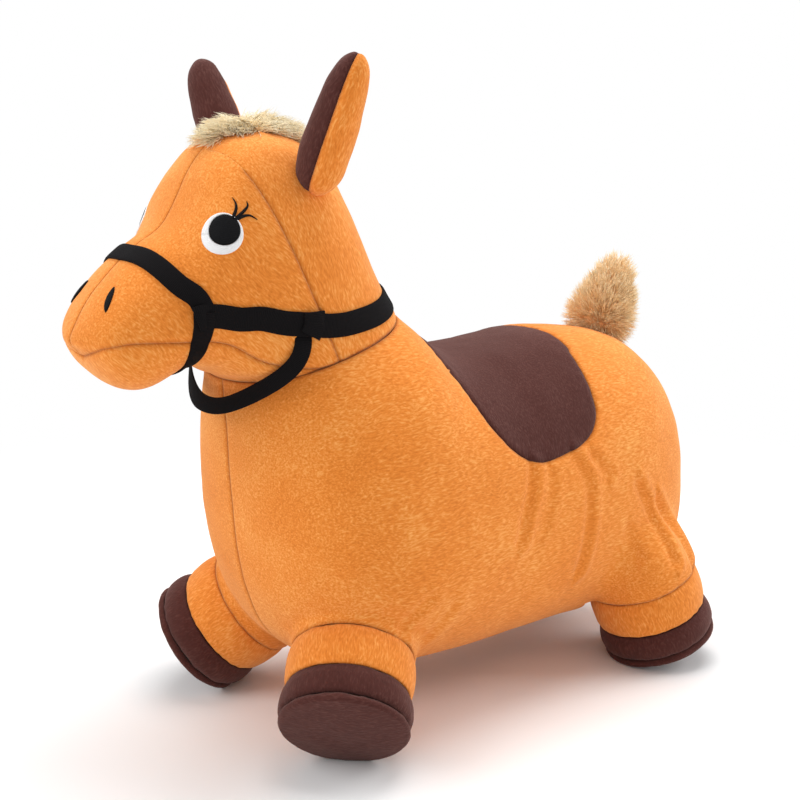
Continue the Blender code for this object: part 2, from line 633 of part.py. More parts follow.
def build_zip():
    """Tapes, tooth rows, stops, slider and hanging pull tab of the closed belly zip."""
    level = BELLY_Z + ZIP_LIFT
    half_tape = TAPE_THICKNESS / 2
    tape = box((TEETH_OUTER + SEAM_GAP, ZIP_FRONT, level - half_tape),
               (ZIP_SLOT - SEAM_GAP, ZIP_REAR, level + half_tape))
    mirrored(finish(tape, "zip_tape_left", "zip_tape"), "zip_tape_right")
    stop_half = TEETH_HEIGHT / 2 + SEAM_GAP
    for place, name in ((ZIP_FRONT, "zip_stop_front"), (ZIP_REAR - STOP_LENGTH, "zip_stop_rear")):
        finish(box((-TEETH_OUTER, place, level - stop_half),
                   (TEETH_OUTER, place + STOP_LENGTH, level + stop_half)), name, "zip_metal")
    nose = ZIP_FRONT + STOP_LENGTH + SEAM_GAP
    start = nose + SLIDER_POST[1] + SEAM_GAP
    count = int((ZIP_REAR - STOP_LENGTH - SEAM_GAP - start) / TEETH_PITCH)
    end = start + count * TEETH_PITCH
    half_teeth = TEETH_HEIGHT / 2
    to_plan = Matrix(((0, 1, 0, 0), (0, 0, 1, 0), (1, 0, 0, 0), (0, 0, 0, 1)))
    left = prism(comb(start, end), level - half_teeth, level + half_teeth)
    left.data.transform(to_plan)
    finish(left, "zip_teeth_left", "zip_metal")
    right = mirrored(left, "zip_teeth_right")
    right.data.transform(Matrix.Translation((0, TEETH_PITCH / 2, 0)))
    near, far = half_teeth + SLIDER_PLAY, half_teeth + SLIDER_PLAY + SLIDER_PLATE
    reach = SLIDER_HALF_WIDTH
    slider = box((-reach, nose, level - far), (reach, nose + SLIDER_LENGTH, level - near))
    combine(slider, box((-SLIDER_POST[0], nose + SEAM_GAP, level - far + SEAM_GAP),
                        (SLIDER_POST[0], nose + SLIDER_POST[1], level + far - SEAM_GAP)), "UNION")
    combine(slider, box((-reach, nose, level + near), (reach, nose + SLIDER_LENGTH, level + far)), "UNION")
    middle = nose + SLIDER_LENGTH / 2
    for side in (1, -1):
        low, high = sorted((side * LUG_INNER, side * LUG_OUTER))
        combine(slider, box((low, middle - LUG_HALF_LENGTH, level - LUG_DROP),
                            (high, middle + LUG_HALF_LENGTH, level - far + SEAM_GAP)), "UNION")
    across = Matrix.Translation((0, middle, level - PIN_DROP)) @ Matrix.Rotation(math.pi / 2, 4, "Y")
    pin_half = (LUG_INNER + LUG_OUTER) / 2
    rod = [(0, -pin_half), (PIN_RADIUS, -pin_half), (PIN_RADIUS, pin_half), (0, pin_half)]
    combine(slider, turned(rod, across, FINE_AROUND, "pin"), "UNION")
    finish(slider, "zip_slider", "zip_metal")
    bore = PIN_RADIUS + PULL_PLAY
    eye = [(bore, -PULL_HALF_WIDTH), (PULL_EYE_RADIUS, -PULL_HALF_WIDTH), (PULL_EYE_RADIUS, PULL_HALF_WIDTH),
           (bore, PULL_HALF_WIDTH)]
    tab = turned(eye, across, FINE_AROUND, "eye", closed=True)
    top = level - PIN_DROP - (bore + PULL_EYE_RADIUS) / 2
    leaf = PULL_HALF_WIDTH - SEAM_GAP
    combine(tab, box((-leaf, middle - PULL_THICKNESS / 2, top - PULL_LENGTH),
                     (leaf, middle + PULL_THICKNESS / 2, top)), "UNION")
    finish(tab, "zip_pull_tab", "zip_metal")


def saddle_outline():
    return shares_to_points(SADDLE_SHARES, TRUNK_REACH, SEAT_HEIGHT)


def grown(outline, gap):
    """The outline moved outwards by gap, for the opening that takes it."""
    centre_y = sum(y for y, z in outline) / len(outline)
    centre_z = sum(z for y, z in outline) / len(outline)
    moved = []
    for y, z in outline:
        away = Vector((y - centre_y, z - centre_z)).normalized() * gap
        moved.append((y + away[0], z + away[1]))
    return moved


def build_body_covers():
    """Left and right plush halves with the saddle let into them."""
    reach = TRUNK_HALF_WIDTH + OVERRUN
    saddle = trunk_form(0.0)
    combine(saddle, trunk_form(COVER), "DIFFERENCE")
    combine(saddle, prism(saddle_outline(), -reach, reach), "INTERSECT")
    finish(saddle, "saddle_panel", "brown_plush")
    cover = trunk_form(0.0)
    hollow = trunk_form(COVER, open_neck=OVERRUN)
    for frame in LEGS.values():
        combine(cover, shoulder(frame, 0.0), "UNION")
        combine(hollow, shoulder(frame, COVER), "UNION")
    combine(cover, hollow, "DIFFERENCE")
    combine(cover, half_space((SEAM_GAP / 2, 0, 0), (-1, 0, 0)), "DIFFERENCE")
    for name in ("front_left", "rear_left"):
        combine(cover, passage(LEGS[name], 0, LEG_TOP + COVER), "DIFFERENCE")
    combine(cover, prism(grown(saddle_outline(), 2 * SEAM_GAP), -reach, reach), "DIFFERENCE")
    combine(cover, box((-ZIP_SLOT, ZIP_FRONT - SEAM_GAP, BELLY_Z - OVERRUN),
                       (ZIP_SLOT, ZIP_REAR + SEAM_GAP, BELLY_Z + OVERRUN)), "DIFFERENCE")
    combine(cover, valve_cylinder(EYELET_RADIUS), "DIFFERENCE")
    combine(cover, tail_way(), "DIFFERENCE")
    finish(cover, "body_cover_left", "orange_plush")
    mirrored(cover, "body_cover_right")


def tail_frame():
    """The tail's own axis, up from its root on the rump."""
    share = TAIL_ROOT_SHARE
    for first, second in zip(TRUNK_SHARES, TRUNK_SHARES[1:]):
        if second[0] <= share <= first[0]:
            part = (share - first[0]) / (second[0] - first[0])
            height = first[1] + (second[1] - first[1]) * part
    turn = Matrix.Rotation(math.radians(-TAIL_LEAN), 4, "X")
    return Matrix.Translation((0, share * TRUNK_REACH, height * SEAT_HEIGHT)) @ turn


def tail_way():
    radius = TAIL_ROOT_RADIUS_SHARE * TAIL_RADIUS + TAIL_HOLE_ROOM
    return turned([(0, -OVERRUN), (radius, -OVERRUN), (radius, OVERRUN), (0, OVERRUN)],
                  tail_frame() @ Matrix.Rotation(math.pi / TAIL_AROUND, 4, "Z"), TAIL_AROUND, "tail_way")


def plume(frame, shares, length, half_width, half_depth, inset, around, name):
    """A stuffed form that swells and tapers along its own axis to a rounded tip."""
    profile = [(0, shares[0][0] * length)]
    profile += [(max(share * half_width - inset, WELD), height * length) for height, share in shares]
    profile += [(0, length - inset)]
    made = turned(profile, Matrix.Rotation(math.pi / around, 4, "Z"), around, name)
    made.data.transform(Matrix.Diagonal((1, half_depth / half_width, 1, 1)))
    made.data.transform(frame)
    return made


def build_tail():
    """A tube of long-pile fur round a stuffed core, sewn into the rump seam."""
    skin, room, core = [
        plume(tail_frame(), TAIL_SHARES, TAIL_LENGTH, TAIL_RADIUS, TAIL_RADIUS, inset, TAIL_AROUND, "tail")
        for inset in (0, TAIL_PILE - SEAM_GAP, TAIL_PILE)]
    trim = trunk_form(-SEAM_GAP)
    combine(skin, trim, "DIFFERENCE", keep=True)
    combine(core, trim, "DIFFERENCE")
    combine(skin, room, "DIFFERENCE")
    finish(skin, "tail_fur", "tan_fur")
    finish(core, "tail_stuffing", "stuffing")


def build_legs():
    """Each leg is an orange band, a brown hoof band and a brown sole, sewn end to end."""
    band_top = LEG_HEIGHT - LEG_GROOVE
    half = SEAM_GAP / 2
    band = [(BAND_RADIUS, HOOF_HEIGHT + half), (BAND_RADIUS, band_top), (CUFF_RADIUS, band_top),
            (CUFF_RADIUS, LEG_TOP), (CUFF_RADIUS - COVER, LEG_TOP), (CUFF_RADIUS - COVER, band_top - COVER),
            (BAND_RADIUS - COVER, HOOF_HEIGHT + half)]
    hoof_outside = [(SOLE_SEAM_RADIUS, SOLE_SEAM + half), (HOOF_RADIUS, HOOF_HEIGHT / 2),
                    (BAND_RADIUS, HOOF_HEIGHT - half)]
    hoof = hoof_outside + [(radius - COVER, height) for radius, height in reversed(hoof_outside)]
    sole = SOLE_PROFILE + [(SOLE_SEAM_RADIUS - COVER, SOLE_SEAM - half),
                           (SOLE_RADIUS * 0.90 - COVER, COVER), (0, COVER - SOLE_CROWN)]
    floor = half_space((0, 0, 0), (0, 0, -1), "floor")
    for place in ("front", "rear"):
        frame = LEGS[place + "_left"]
        cuff = turned(band, frame, LEG_AROUND, "band", closed=True)
        made = [finish(cuff, "leg_band_" + place, "orange_plush")]
        ring = turned(hoof, frame, LEG_AROUND, "hoof", closed=True)
        combine(ring, floor, "DIFFERENCE", keep=True)
        made.append(finish(ring, "hoof_band_" + place, "brown_plush"))
        pad = turned(sole, frame, LEG_AROUND, "sole")
        combine(pad, floor, "DIFFERENCE", keep=True)
        made.append(finish(pad, "hoof_sole_" + place, "brown_plush"))
        for piece in made:
            mirrored(piece, piece.name + "_right")
            piece.name += "_left"
    remove(floor)


def plane_cutter(top, foot):
    """The half space in front of the plane through two points of the middle plane."""
    run = Vector(top) - Vector(foot)
    normal = Vector((0, -run[1], run[0])).normalized()
    if normal[1] > 0:
        normal = -normal
    return Vector((0, *foot)), normal


def ear_frame():
    """The left ear's own axis, up from its root on the crown."""
    root = head_point(EAR_STATION, EAR_ANGLE)
    lean = Matrix.Rotation(math.radians(EAR_LEAN), 4, "Y") @ Matrix.Rotation(math.radians(EAR_SWEEP), 4, "X")
    return Matrix.Translation(root) @ lean @ Matrix.Rotation(math.radians(EAR_TURN), 4, "Z")


def ear_form(inset, name):
    return plume(ear_frame(), EAR_SHARES, EAR_LENGTH, EAR_HALF_WIDTH, EAR_HALF_DEPTH, inset, EAR_AROUND, name)


def build_ears(head_skin):
    """A stuffed cone with an orange back and a brown lining that faces forward and inward."""
    frame = ear_frame()
    lining = ear_form(0, "skin")
    core = ear_form(EAR_PLUSH + SEAM_GAP, "core")
    for flop in (-EAR_FLOP, 0, EAR_FLOP):
        about = Matrix.Translation(frame.translation)
        trim = copy_of(head_skin, "trim")
        trim.data.transform(about @ Matrix.Rotation(math.radians(flop), 4, "X") @ about.inverted())
        combine(lining, trim, "DIFFERENCE", keep=True)
        combine(core, trim, "DIFFERENCE")
    combine(lining, ear_form(EAR_PLUSH, "room"), "DIFFERENCE")
    front = frame.to_3x3() @ Vector((0, -1, 0))
    back = copy_of(lining, "back")
    combine(lining, half_space(frame.translation + front * SEAM_GAP / 2, -front), "DIFFERENCE")
    combine(back, half_space(frame.translation - front * SEAM_GAP / 2, front), "DIFFERENCE")
    for piece, name, look in ((lining, "ear_lining", "brown_plush"), (back, "ear_back", "orange_plush"),
                              (core, "ear_stuffing", "stuffing")):
        mirrored(finish(piece, name + "_left", look), name + "_right")


def ear_way():
    radius = EAR_HALF_WIDTH * EAR_SHARES[1][1] + EAR_HOLE_ROOM
    way = turned([(0, -OVERRUN), (radius, -OVERRUN), (radius, OVERRUN), (0, OVERRUN)],
                 Matrix.Rotation(math.pi / EAR_AROUND, 4, "Z"), EAR_AROUND, "ear_way")
    depth = EAR_HALF_DEPTH * EAR_SHARES[1][1] + EAR_HOLE_ROOM
    way.data.transform(Matrix.Diagonal((1, depth / radius, 1, 1)))
    way.data.transform(ear_frame())
    return way


def build_head_covers():
    """Neck, cheek and chin panels of the head cover, parted along its seams."""
    shell = head_form(0.0)
    combine(shell, head_form(COVER, foot=OVERRUN), "DIFFERENCE")
    half = SEAM_GAP / 2
    cheek_ends = head_place(CHEEK_SEAM_TOP_SHARE), head_place(CHEEK_SEAM_FOOT_SHARE)
    cheek_point, cheek_normal = plane_cutter(*cheek_ends)
    collar = Vector((0, *(NECK_CENTRE + NECK_UP * (CUFF_GROOVE + COVER + SEAM_GAP))))
    neck_up = Vector((0, *NECK_UP))
    nose = head_place(MOUTH_SEAM_NOSE_SHARE, NECK_FRONT)
    throat = head_place(MOUTH_SEAM_THROAT_SHARE, NECK_FRONT)
    mouth_point = Vector((0, *throat))
    mouth_up = Vector((0, throat[1] - nose[1], nose[0] - throat[0])).normalized()
    mouth_up = -mouth_up if mouth_up[2] < 0 else mouth_up
    chin = copy_of(shell, "chin")
    combine(chin, half_space(mouth_point - mouth_up * half, mouth_up), "DIFFERENCE")
    combine(chin, half_space(cheek_point + cheek_normal * half, -cheek_normal), "DIFFERENCE")
    combine(chin, half_space(collar + neck_up * half, -neck_up), "DIFFERENCE")
    finish(chin, "chin_panel", "orange_plush")
    combine(shell, half_space((half, 0, 0), (-1, 0, 0)), "DIFFERENCE")
    combine(shell, ear_way(), "DIFFERENCE")
    front = copy_of(shell, "front")
    combine(front, half_space(cheek_point + cheek_normal * half, -cheek_normal), "DIFFERENCE")
    combine(front, half_space(mouth_point + mouth_up * half, -mouth_up), "DIFFERENCE")
    combine(front, half_space(collar + neck_up * half, -neck_up), "DIFFERENCE")
    wedge = half_space(cheek_point - cheek_normal * half, cheek_normal)
    combine(wedge, half_space(collar - neck_up * half, neck_up), "INTERSECT")
    combine(shell, wedge, "DIFFERENCE")
    for piece, name in ((shell, "neck_cover"), (front, "head_cover")):
        mirrored(finish(piece, name + "_left", "orange_plush"), name + "_right")


def laid_on(tree, centre, normal, across, up, outline, height, lift, name, hole=None, hub=True):
    """An outline laid on the skin along its normal, as a plate of even height; a hub fans its faces."""
    def drop(x, y):
        start = centre + across * x + up * y + normal * OVERRUN
        hit = tree.ray_cast(start, -normal)[0]
        return hit if hit else centre + across * x + up * y
    bm = bmesh.new()
    rims = [outline] + ([hole] if hole else [])
    levels = []
    for rim in rims:
        low = [bm.verts.new(drop(x, y) + normal * lift) for x, y in rim]
        high = [bm.verts.new(v.co + normal * height) for v in low]
        levels.append((low, high))
    count = len(outline)
    for low, high in levels:
        for k in range(count):
            nxt = (k + 1) % count
            bm.faces.new((low[k], low[nxt], high[nxt], high[k]))
    if hole:
        for level in (0, 1):
            outer, inner = levels[0][level], levels[1][level]
            for k in range(count):
                nxt = (k + 1) % count
                bm.faces.new((outer[k], outer[nxt], inner[nxt], inner[k]))
    elif not hub:
        bm.faces.new(levels[0][0])
        bm.faces.new(levels[0][1])
    else:
        middle = (sum(x for x, y in outline) / count, sum(y for x, y in outline) / count)
        for level, extra in ((0, 0), (1, height)):
            pole = bm.verts.new(drop(*middle) + normal * (lift + extra))
            ring = levels[0][level]
            for k in range(count):
                bm.faces.new((ring[k], ring[(k + 1) % count], pole))
    return to_object(bm, name)


def circle(radius, count, shift=(0, 0)):
    turns = [2 * math.pi * k / count for k in range(count)]
    return [(shift[0] + radius * math.cos(turn), shift[1] + radius * math.sin(turn)) for turn in turns]


def skin_tree(skin):
    bm = bmesh.new()
    bm.from_mesh(skin.data)
    tree = BVHTree.FromBMesh(bm)
    bm.free()
    return tree


def build_face(head_skin, tree):
    """Embroidery: a white ring, a black pupil with three lashes, and the nostrils."""
    slit = [(NOSTRIL_HALF_WIDTH * math.sin(2 * math.pi * k / 12) ** 3,
             NOSTRIL_HALF_HEIGHT * math.cos(2 * math.pi * k / 12)) for k in range(12)]
    hole = circle(PUPIL_RADIUS + STITCH_GAP, EYE_AROUND, PUPIL_SHIFT)
    disc = circle(PUPIL_RADIUS, EYE_AROUND, PUPIL_SHIFT)
    for name, look, station, angle, outline, inner in (
            ("eye_white", "white_thread", EYE_STATION, EYE_ANGLE, circle(EYE_WHITE_RADIUS, EYE_AROUND), hole),
            ("pupil", "black_thread", EYE_STATION, EYE_ANGLE, disc, None),
            ("lashes", "black_thread", EYE_STATION, EYE_ANGLE, lash_outline(), None),
            ("nostril", "black_thread", NOSTRIL_STATION, NOSTRIL_ANGLE, slit, None)):
        centre = head_point(station, angle)
        normal = head_normal(station, angle)
        across = Vector((0, 0, 1)).cross(normal).normalized()
        up = normal.cross(across).normalized()
        piece = laid_on(tree, centre, normal, across, up, outline, STITCH_HEIGHT, SEW_LIFT, name, inner,
                        name != "lashes")
        combine(piece, head_skin, "DIFFERENCE", keep=True)
        mirrored(finish(piece, name + "_left", look), name + "_right")


def lash_outline():
    """Three tapering lashes that spring from one band just outside the white ring."""
    root = EYE_WHITE_RADIUS + LASH_ROOT_GAP
    spread = math.degrees(LASH_WIDTH / root) / 2
    points = []
    for angle in LASH_ANGLES:
        tip = math.radians(angle)
        end = Vector(((root + LASH_LENGTH) * math.cos(tip), (root + LASH_LENGTH) * math.sin(tip)))
        sides = []
        for turn in (math.radians(angle + spread), math.radians(angle - spread)):
            foot = Vector((math.cos(turn), math.sin(turn))) * (root + LASH_BAND)
            sides.append([tuple(foot.lerp(end, k / LASH_STEPS)) for k in range(LASH_STEPS)])
        points += sides[0] + [tuple(end)] + sides[1][::-1]
    first, last = LASH_ANGLES[-1] - spread, LASH_ANGLES[0] + spread
    for k in range(2 * LASH_STEPS + 1):
        turn = math.radians(first + (last - first) * k / (2 * LASH_STEPS))
        points.append((root * math.cos(turn), root * math.sin(turn)))
    return points


def path_points(path, step):
    """Points along a path of station and angle pairs, about a step apart on the skin."""
    points = []
    for first, second in zip(path, path[1:]):
        length = (head_point(*second) - head_point(*first)).length
        count = max(1, round(length / step))
        points += [tuple(Vector(first).lerp(Vector(second), k / count)) for k in range(count)]
    points.append(path[-1])
    return points


def ribbon(centres, normals, width, thickness, lift, name):
    """A flat strap with its broad side along the skin."""
    bm = bmesh.new()
    rings = []
    last = len(centres) - 1
    for k, (centre, normal) in enumerate(zip(centres, normals)):
        tangent = (centres[min(k + 1, last)] - centres[max(k - 1, 0)]).normalized()
        side = normal.cross(tangent).normalized() * width / 2
        low, high = centre + normal * lift, centre + normal * (lift + thickness)
        rings.append([bm.verts.new(p) for p in (low - side, low + side, high + side, high - side)])
    for first, second in zip(rings, rings[1:]):
        for k in range(4):
            nxt = (k + 1) % 4
            bm.faces.new((first[k], first[nxt], second[nxt], second[k]))
    bm.faces.new(rings[0])
    bm.faces.new(rings[-1])
    return to_object(bm, name)


def skin_ribbon(head_skin, path, width, name):
    """A strap sewn along a path on the head cover, trimmed where a fold of the cover stands proud."""
    places = path_points(path, WEB_STEP)
    strap = ribbon([head_point(*p) for p in places], [head_normal(*p) for p in places], width, WEB_THICKNESS,
                   SEW_LIFT, name)
    combine(strap, head_skin, "DIFFERENCE", keep=True)
    return finish(strap, name, "black_webbing")


def build_bridle(head_skin):
    """Black webbing sewn to the head cover: over the nose, under the chin and round the neck."""
    skin_ribbon(head_skin, [(s, -a) for s, a in reversed(NOSEBAND_PATH[1:])] + NOSEBAND_PATH, NOSEBAND_WIDTH,
                "noseband")
    skin_ribbon(head_skin, CHIN_PATH + [(s, 360 - a) for s, a in reversed(CHIN_PATH[:-1])], NOSEBAND_WIDTH,
                "chin_strap")
    skin_ribbon(head_skin, HEADSTALL_PATH + [(s, -a) for s, a in reversed(HEADSTALL_PATH[:-1])], WEB_WIDTH,
                "headstall_strap")


def build_rein(head_skin, tree):
    """The loose loop under the jaw, hung from the two forks of the bridle."""
    half = []
    for x, y, z in REIN_PATH:
        hit = tree.ray_cast(Vector((2 * NECK_HALF_WIDTH, y, z)), Vector((-1, 0, 0)))[0]
        half.append(Vector((max(x, hit[0] + REIN_CLEARANCE) if hit else x, y, z)))
    centres = half + [Vector((-x, y, z)) for x, y, z in reversed(half[:-1])]
    drop = half[-1] - half[0]
    broad = Vector((0, drop[2], -drop[1])).normalized()
    last = len(centres) - 1
    runs = [centres[min(k + 1, last)] - centres[max(k - 1, 0)] for k in range(last + 1)]
    normals = [broad.cross(run).normalized() for run in runs]
    loop = ribbon(centres, normals, REIN_WIDTH, WEB_THICKNESS, 0, "rein")
    combine(loop, head_skin, "DIFFERENCE", keep=True)
    finish(loop, "rein_loop", "black_webbing")


def build_forelock(head_skin):
    """A strip of long-pile fur over the crown, between the ears."""
    bm = bmesh.new()
    rings = []
    first, last = FORELOCK_STATIONS
    for k in range(FORELOCK_STEPS + 1):
        part = k / FORELOCK_STEPS
        station = first + (last - first) * part
        swell = math.sin(math.pi * min(max(part, 0.06), 0.94)) ** 0.5
        normal = head_normal(station, 0.5)
        normal[0] = 0
        normal.normalize()
        centre = head_point(station, 0)
        ring = []
        for j in range(9):
            turn = math.pi * j / 8
            ring.append(bm.verts.new(centre + Vector((FORELOCK_HALF_WIDTH * swell * math.cos(turn), 0, 0))
                                     + normal * (FORELOCK_HEIGHT * swell * math.sin(turn) - COVER)))
        rings.append(ring)
    for low, high in zip(rings, rings[1:]):
        for j in range(9):
            nxt = (j + 1) % 9
            bm.faces.new((low[j], low[nxt], high[nxt], high[j]))
    bm.faces.new(rings[0])
    bm.faces.new(rings[-1])
    strip = to_object(bm, "strip")
    combine(strip, head_skin, "DIFFERENCE", keep=True)
    finish(strip, "forelock", "tan_fur")


def pivot(name, place, parent, names):
    """An empty on a joint's axis, which carries the pieces that move about it."""
    empty = bpy.data.objects.new(name, None)
    bpy.context.collection.objects.link(empty)
    empty.parent = parent
    empty.location = Vector(place) - (PIVOT_PLACES[parent.name] if parent else Vector())
    PIVOT_PLACES[name] = Vector(place)
    for piece in names:
        thing = bpy.data.objects[piece]
        thing.data.transform(Matrix.Translation(-Vector(place)))
        thing.parent = empty
    return empty


PIVOT_PLACES = {}


def ends_in_length():
    ys = [vert.co[1] for thing in bpy.data.objects for vert in thing.data.vertices]
    return min(ys), max(ys)


def assemble():
    """Hangs every piece on its joint, and stands the animal with the origin under its middle."""
    nose, rump = ends_in_length()
    both = ("_left", "_right")
    free = {"head": ["chin_panel", "chin_strap", "forelock", "headstall_strap", "noseband"]
            + [kind + side for kind in ("neck_cover", "head_cover", "eye_white", "pupil", "lashes", "nostril")
               for side in both],
            "tail": ["tail_fur", "tail_stuffing"], "rein": ["rein_loop"], "slider": ["zip_slider"],
            "pull_tab": ["zip_pull_tab"], "plug": ["valve_plug"]}
    for side in both:
        free["ear" + side] = [kind + side for kind in ("ear_back", "ear_lining", "ear_stuffing")]
    for leg in LEGS:
        free["leg_" + leg] = [kind + leg for kind in ("leg_band_", "hoof_band_", "hoof_sole_")]
    moving = [piece for pieces in free.values() for piece in pieces]
    fixed = [thing.name for thing in bpy.data.objects if thing.name not in moving]
    root = pivot("horse", (0, (nose + rump) / 2, 0), None, fixed)
    root.location = (0, 0, 0)
    neck = pivot("head_pivot", (0, *NECK_CENTRE), root, free["head"])
    for side, name in ((1, "left"), (-1, "right")):
        ear_root = ear_frame().translation
        pivot("ear_pivot_" + name, (side * ear_root[0], *ear_root[1:]), neck, free["ear_" + name])
    rein_hang = (0, REIN_PATH[1][1], REIN_PATH[1][2])
    pivot("rein_pivot", rein_hang, neck, free["rein"])
    pivot("tail_pivot", tail_frame().translation, root, free["tail"])
    for name, frame in LEGS.items():
        pivot("leg_pivot_" + name, frame @ Vector((0, 0, LEG_HEIGHT)), root, free["leg_" + name])
    slider = pivot("slider_pivot", slider_place(), root, free["slider"])
    pivot("pull_pivot", slider_place() - Vector((0, 0, PIN_DROP)), slider, free["pull_tab"])
    pivot("plug_pivot", (0, VALVE_Y, BELLY_Z), root, free["plug"])


for old in list(bpy.data.objects):
    bpy.data.objects.remove(old)
build_body_covers()
build_bladder()
build_valve()
build_zip()
build_legs()
build_tail()
build_head_covers()
head_skin = head_form(-SEAM_GAP)
build_ears(head_skin)
build_forelock(head_skin)
tree = skin_tree(head_skin)
build_face(head_skin, tree)
build_bridle(head_skin)
build_rein(head_skin, tree)
remove(head_skin)
assemble()
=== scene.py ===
import json
import math

import bmesh
import bpy
import numpy as np
from mathutils import Matrix, Vector, noise
from mathutils.bvhtree import BVHTree


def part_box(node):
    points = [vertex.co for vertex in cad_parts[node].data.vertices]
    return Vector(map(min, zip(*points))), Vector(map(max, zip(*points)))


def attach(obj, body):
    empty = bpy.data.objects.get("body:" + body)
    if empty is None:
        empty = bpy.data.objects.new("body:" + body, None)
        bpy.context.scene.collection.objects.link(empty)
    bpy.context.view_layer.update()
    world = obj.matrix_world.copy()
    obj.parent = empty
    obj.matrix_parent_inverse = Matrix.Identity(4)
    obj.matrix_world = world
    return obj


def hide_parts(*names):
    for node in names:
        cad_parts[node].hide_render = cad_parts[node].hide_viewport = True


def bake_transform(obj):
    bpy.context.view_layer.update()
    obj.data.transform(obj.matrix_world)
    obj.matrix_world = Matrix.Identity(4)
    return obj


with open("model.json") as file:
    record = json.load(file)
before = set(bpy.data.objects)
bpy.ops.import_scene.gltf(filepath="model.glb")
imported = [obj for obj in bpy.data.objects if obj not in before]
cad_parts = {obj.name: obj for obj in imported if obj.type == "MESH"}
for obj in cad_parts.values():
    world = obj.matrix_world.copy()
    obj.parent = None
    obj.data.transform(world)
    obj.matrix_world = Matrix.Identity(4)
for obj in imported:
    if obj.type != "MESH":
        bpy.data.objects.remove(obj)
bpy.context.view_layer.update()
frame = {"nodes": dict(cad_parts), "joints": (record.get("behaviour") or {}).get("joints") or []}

# Camera: ahead of the animal and to its left, level with its ears, at the place and with the lens that a
# fit to the photograph gives
CAMERA_PLACE = Vector((0.8317, -0.6314, 0.4723))
CAMERA_AIM = Vector((0.0, -0.0022, 0.2386))
LENS = 60.75
camera_data = bpy.data.cameras.new("camera")
camera_data.lens = LENS
camera_data.sensor_width = 36.0
camera = bpy.data.objects.new("camera", camera_data)
bpy.context.collection.objects.link(camera)
camera.location = CAMERA_PLACE
camera.rotation_euler = (CAMERA_AIM - CAMERA_PLACE).to_track_quat("-Z", "Y").to_euler()
bpy.context.scene.camera = camera
bpy.context.scene.view_settings.view_transform = "Standard"


# Shader sums are written as Python expressions on sockets
class Value:
    """A socket that adds Math nodes for the sums written on it."""

    def __init__(self, tree, socket):
        self.tree, self.socket = tree, socket

    def _math(self, operation, first, second=0.0):
        return node(self.tree, "ShaderNodeMath", {"operation": operation}, {0: first, 1: second})

    def __add__(self, other): return self._math("ADD", self, other)
    def __radd__(self, other): return self._math("ADD", other, self)
    def __sub__(self, other): return self._math("SUBTRACT", self, other)
    def __rsub__(self, other): return self._math("SUBTRACT", other, self)
    def __mul__(self, other): return self._math("MULTIPLY", self, other)
    def __rmul__(self, other): return self._math("MULTIPLY", other, self)
    def power(self, other): return self._math("POWER", self, other)
    def sine(self): return self._math("SINE", self)
    def most(self, other): return self._math("MAXIMUM", self, other)


def node(tree, kind, settings=None, values=None, output=0):
    """Adds a node: its settings first, then the values or links of its sockets; gives one output."""
    made = tree.nodes.new(kind)
    for name, setting in (settings or {}).items():
        if name == "stops":
            ramp = made.color_ramp.elements
            while len(ramp) < len(setting):
                ramp.new(0.5)
            for stop, (place, colour) in zip(ramp, setting):
                stop.position, stop.color = place, (*colour, 1.0)
        else:
            setattr(made, name, setting)
    for key, value in (values or {}).items():
        if isinstance(value, Value):
            tree.links.new(value.socket, made.inputs[key])
        else:
            made.inputs[key].default_value = value
    return Value(tree, made.outputs[output])


def new_material(name, roughness, **constants):
    """A material with its shader; whatever is the same all over is set on the shader's own sockets."""
    made = bpy.data.materials.new(name)
    made.use_nodes = True
    shader = made.node_tree.nodes["Principled BSDF"]
    shader.inputs["Roughness"].default_value = roughness
    for socket, value in constants.items():
        shader.inputs[socket.replace("_", " ")].default_value = value
    return made, made.node_tree, shader


def mix(tree, factor, first, second, blend="MIX"):
    return node(tree, "ShaderNodeMix", {"data_type": "RGBA", "blend_type": blend},
                {0: factor, 6: first if isinstance(first, Value) else (*first, 1.0),
                 7: second if isinstance(second, Value) else (*second, 1.0)}, 2)


def seen_plainly(tree):
    """One for what the camera, gloss or clear stuff sees, and nought for light that falls on the object."""
    rays = tree.nodes.new("ShaderNodeLightPath")
    seen = Value(tree, rays.outputs["Is Camera Ray"]).most(Value(tree, rays.outputs["Is Glossy Ray"]))
    return seen.most(Value(tree, rays.outputs["Is Transmission Ray"]))


def mix_shaders(tree, factor, first, second, output):
    """Feeds a tree's output with a mix of two shaders."""
    mixed = tree.nodes.new("ShaderNodeMixShader")
    for number, socket in enumerate((factor.socket, first.outputs[0], second.outputs[0])):
        tree.links.new(socket, mixed.inputs[number])
    tree.links.new(mixed.outputs[0], tree.nodes[output].inputs["Surface"])


# Floor and lamps: a white sheet that keeps the animal's shadow and fades out into a plain white room, under
# soft lamps above, ahead of and behind the animal, and a weak one behind the camera
WHITE = (1.0, 1.0, 1.0, 1.0)
FLOOR_WHITE = (0.90, 0.90, 0.90, 1.0)
FLOOR_NEAR = 0.55
FLOOR_FAR = 0.95
ROOM_LIGHT = 0.52
LAMPS = (("key", (-0.5, -1.8, 1.5), 1.3, 21.0), ("top", (-0.2, 0.4, 2.2), 1.6, 36.0),
         ("front", (1.6, -1.2, 1.2), 1.2, 2.5), ("rear", (0.9, 1.9, 1.3), 1.2, 20.0))
LAMPS_AIM = Vector((0, 0, 0.2))
bpy.ops.mesh.primitive_circle_add(vertices=96, radius=6.0, fill_type="NGON", location=(0, 0, 0))
floor = bpy.context.object
floor.name = "floor"
floor_look, tree, shader = new_material("white_floor", 0.9, Base_Color=FLOOR_WHITE)
shader.inputs["Specular IOR Level"].default_value = 0.0
place = node(tree, "ShaderNodeTexCoord", output=3)
reach = node(tree, "ShaderNodeVectorMath", {"operation": "LENGTH"}, {0: place}, 1)
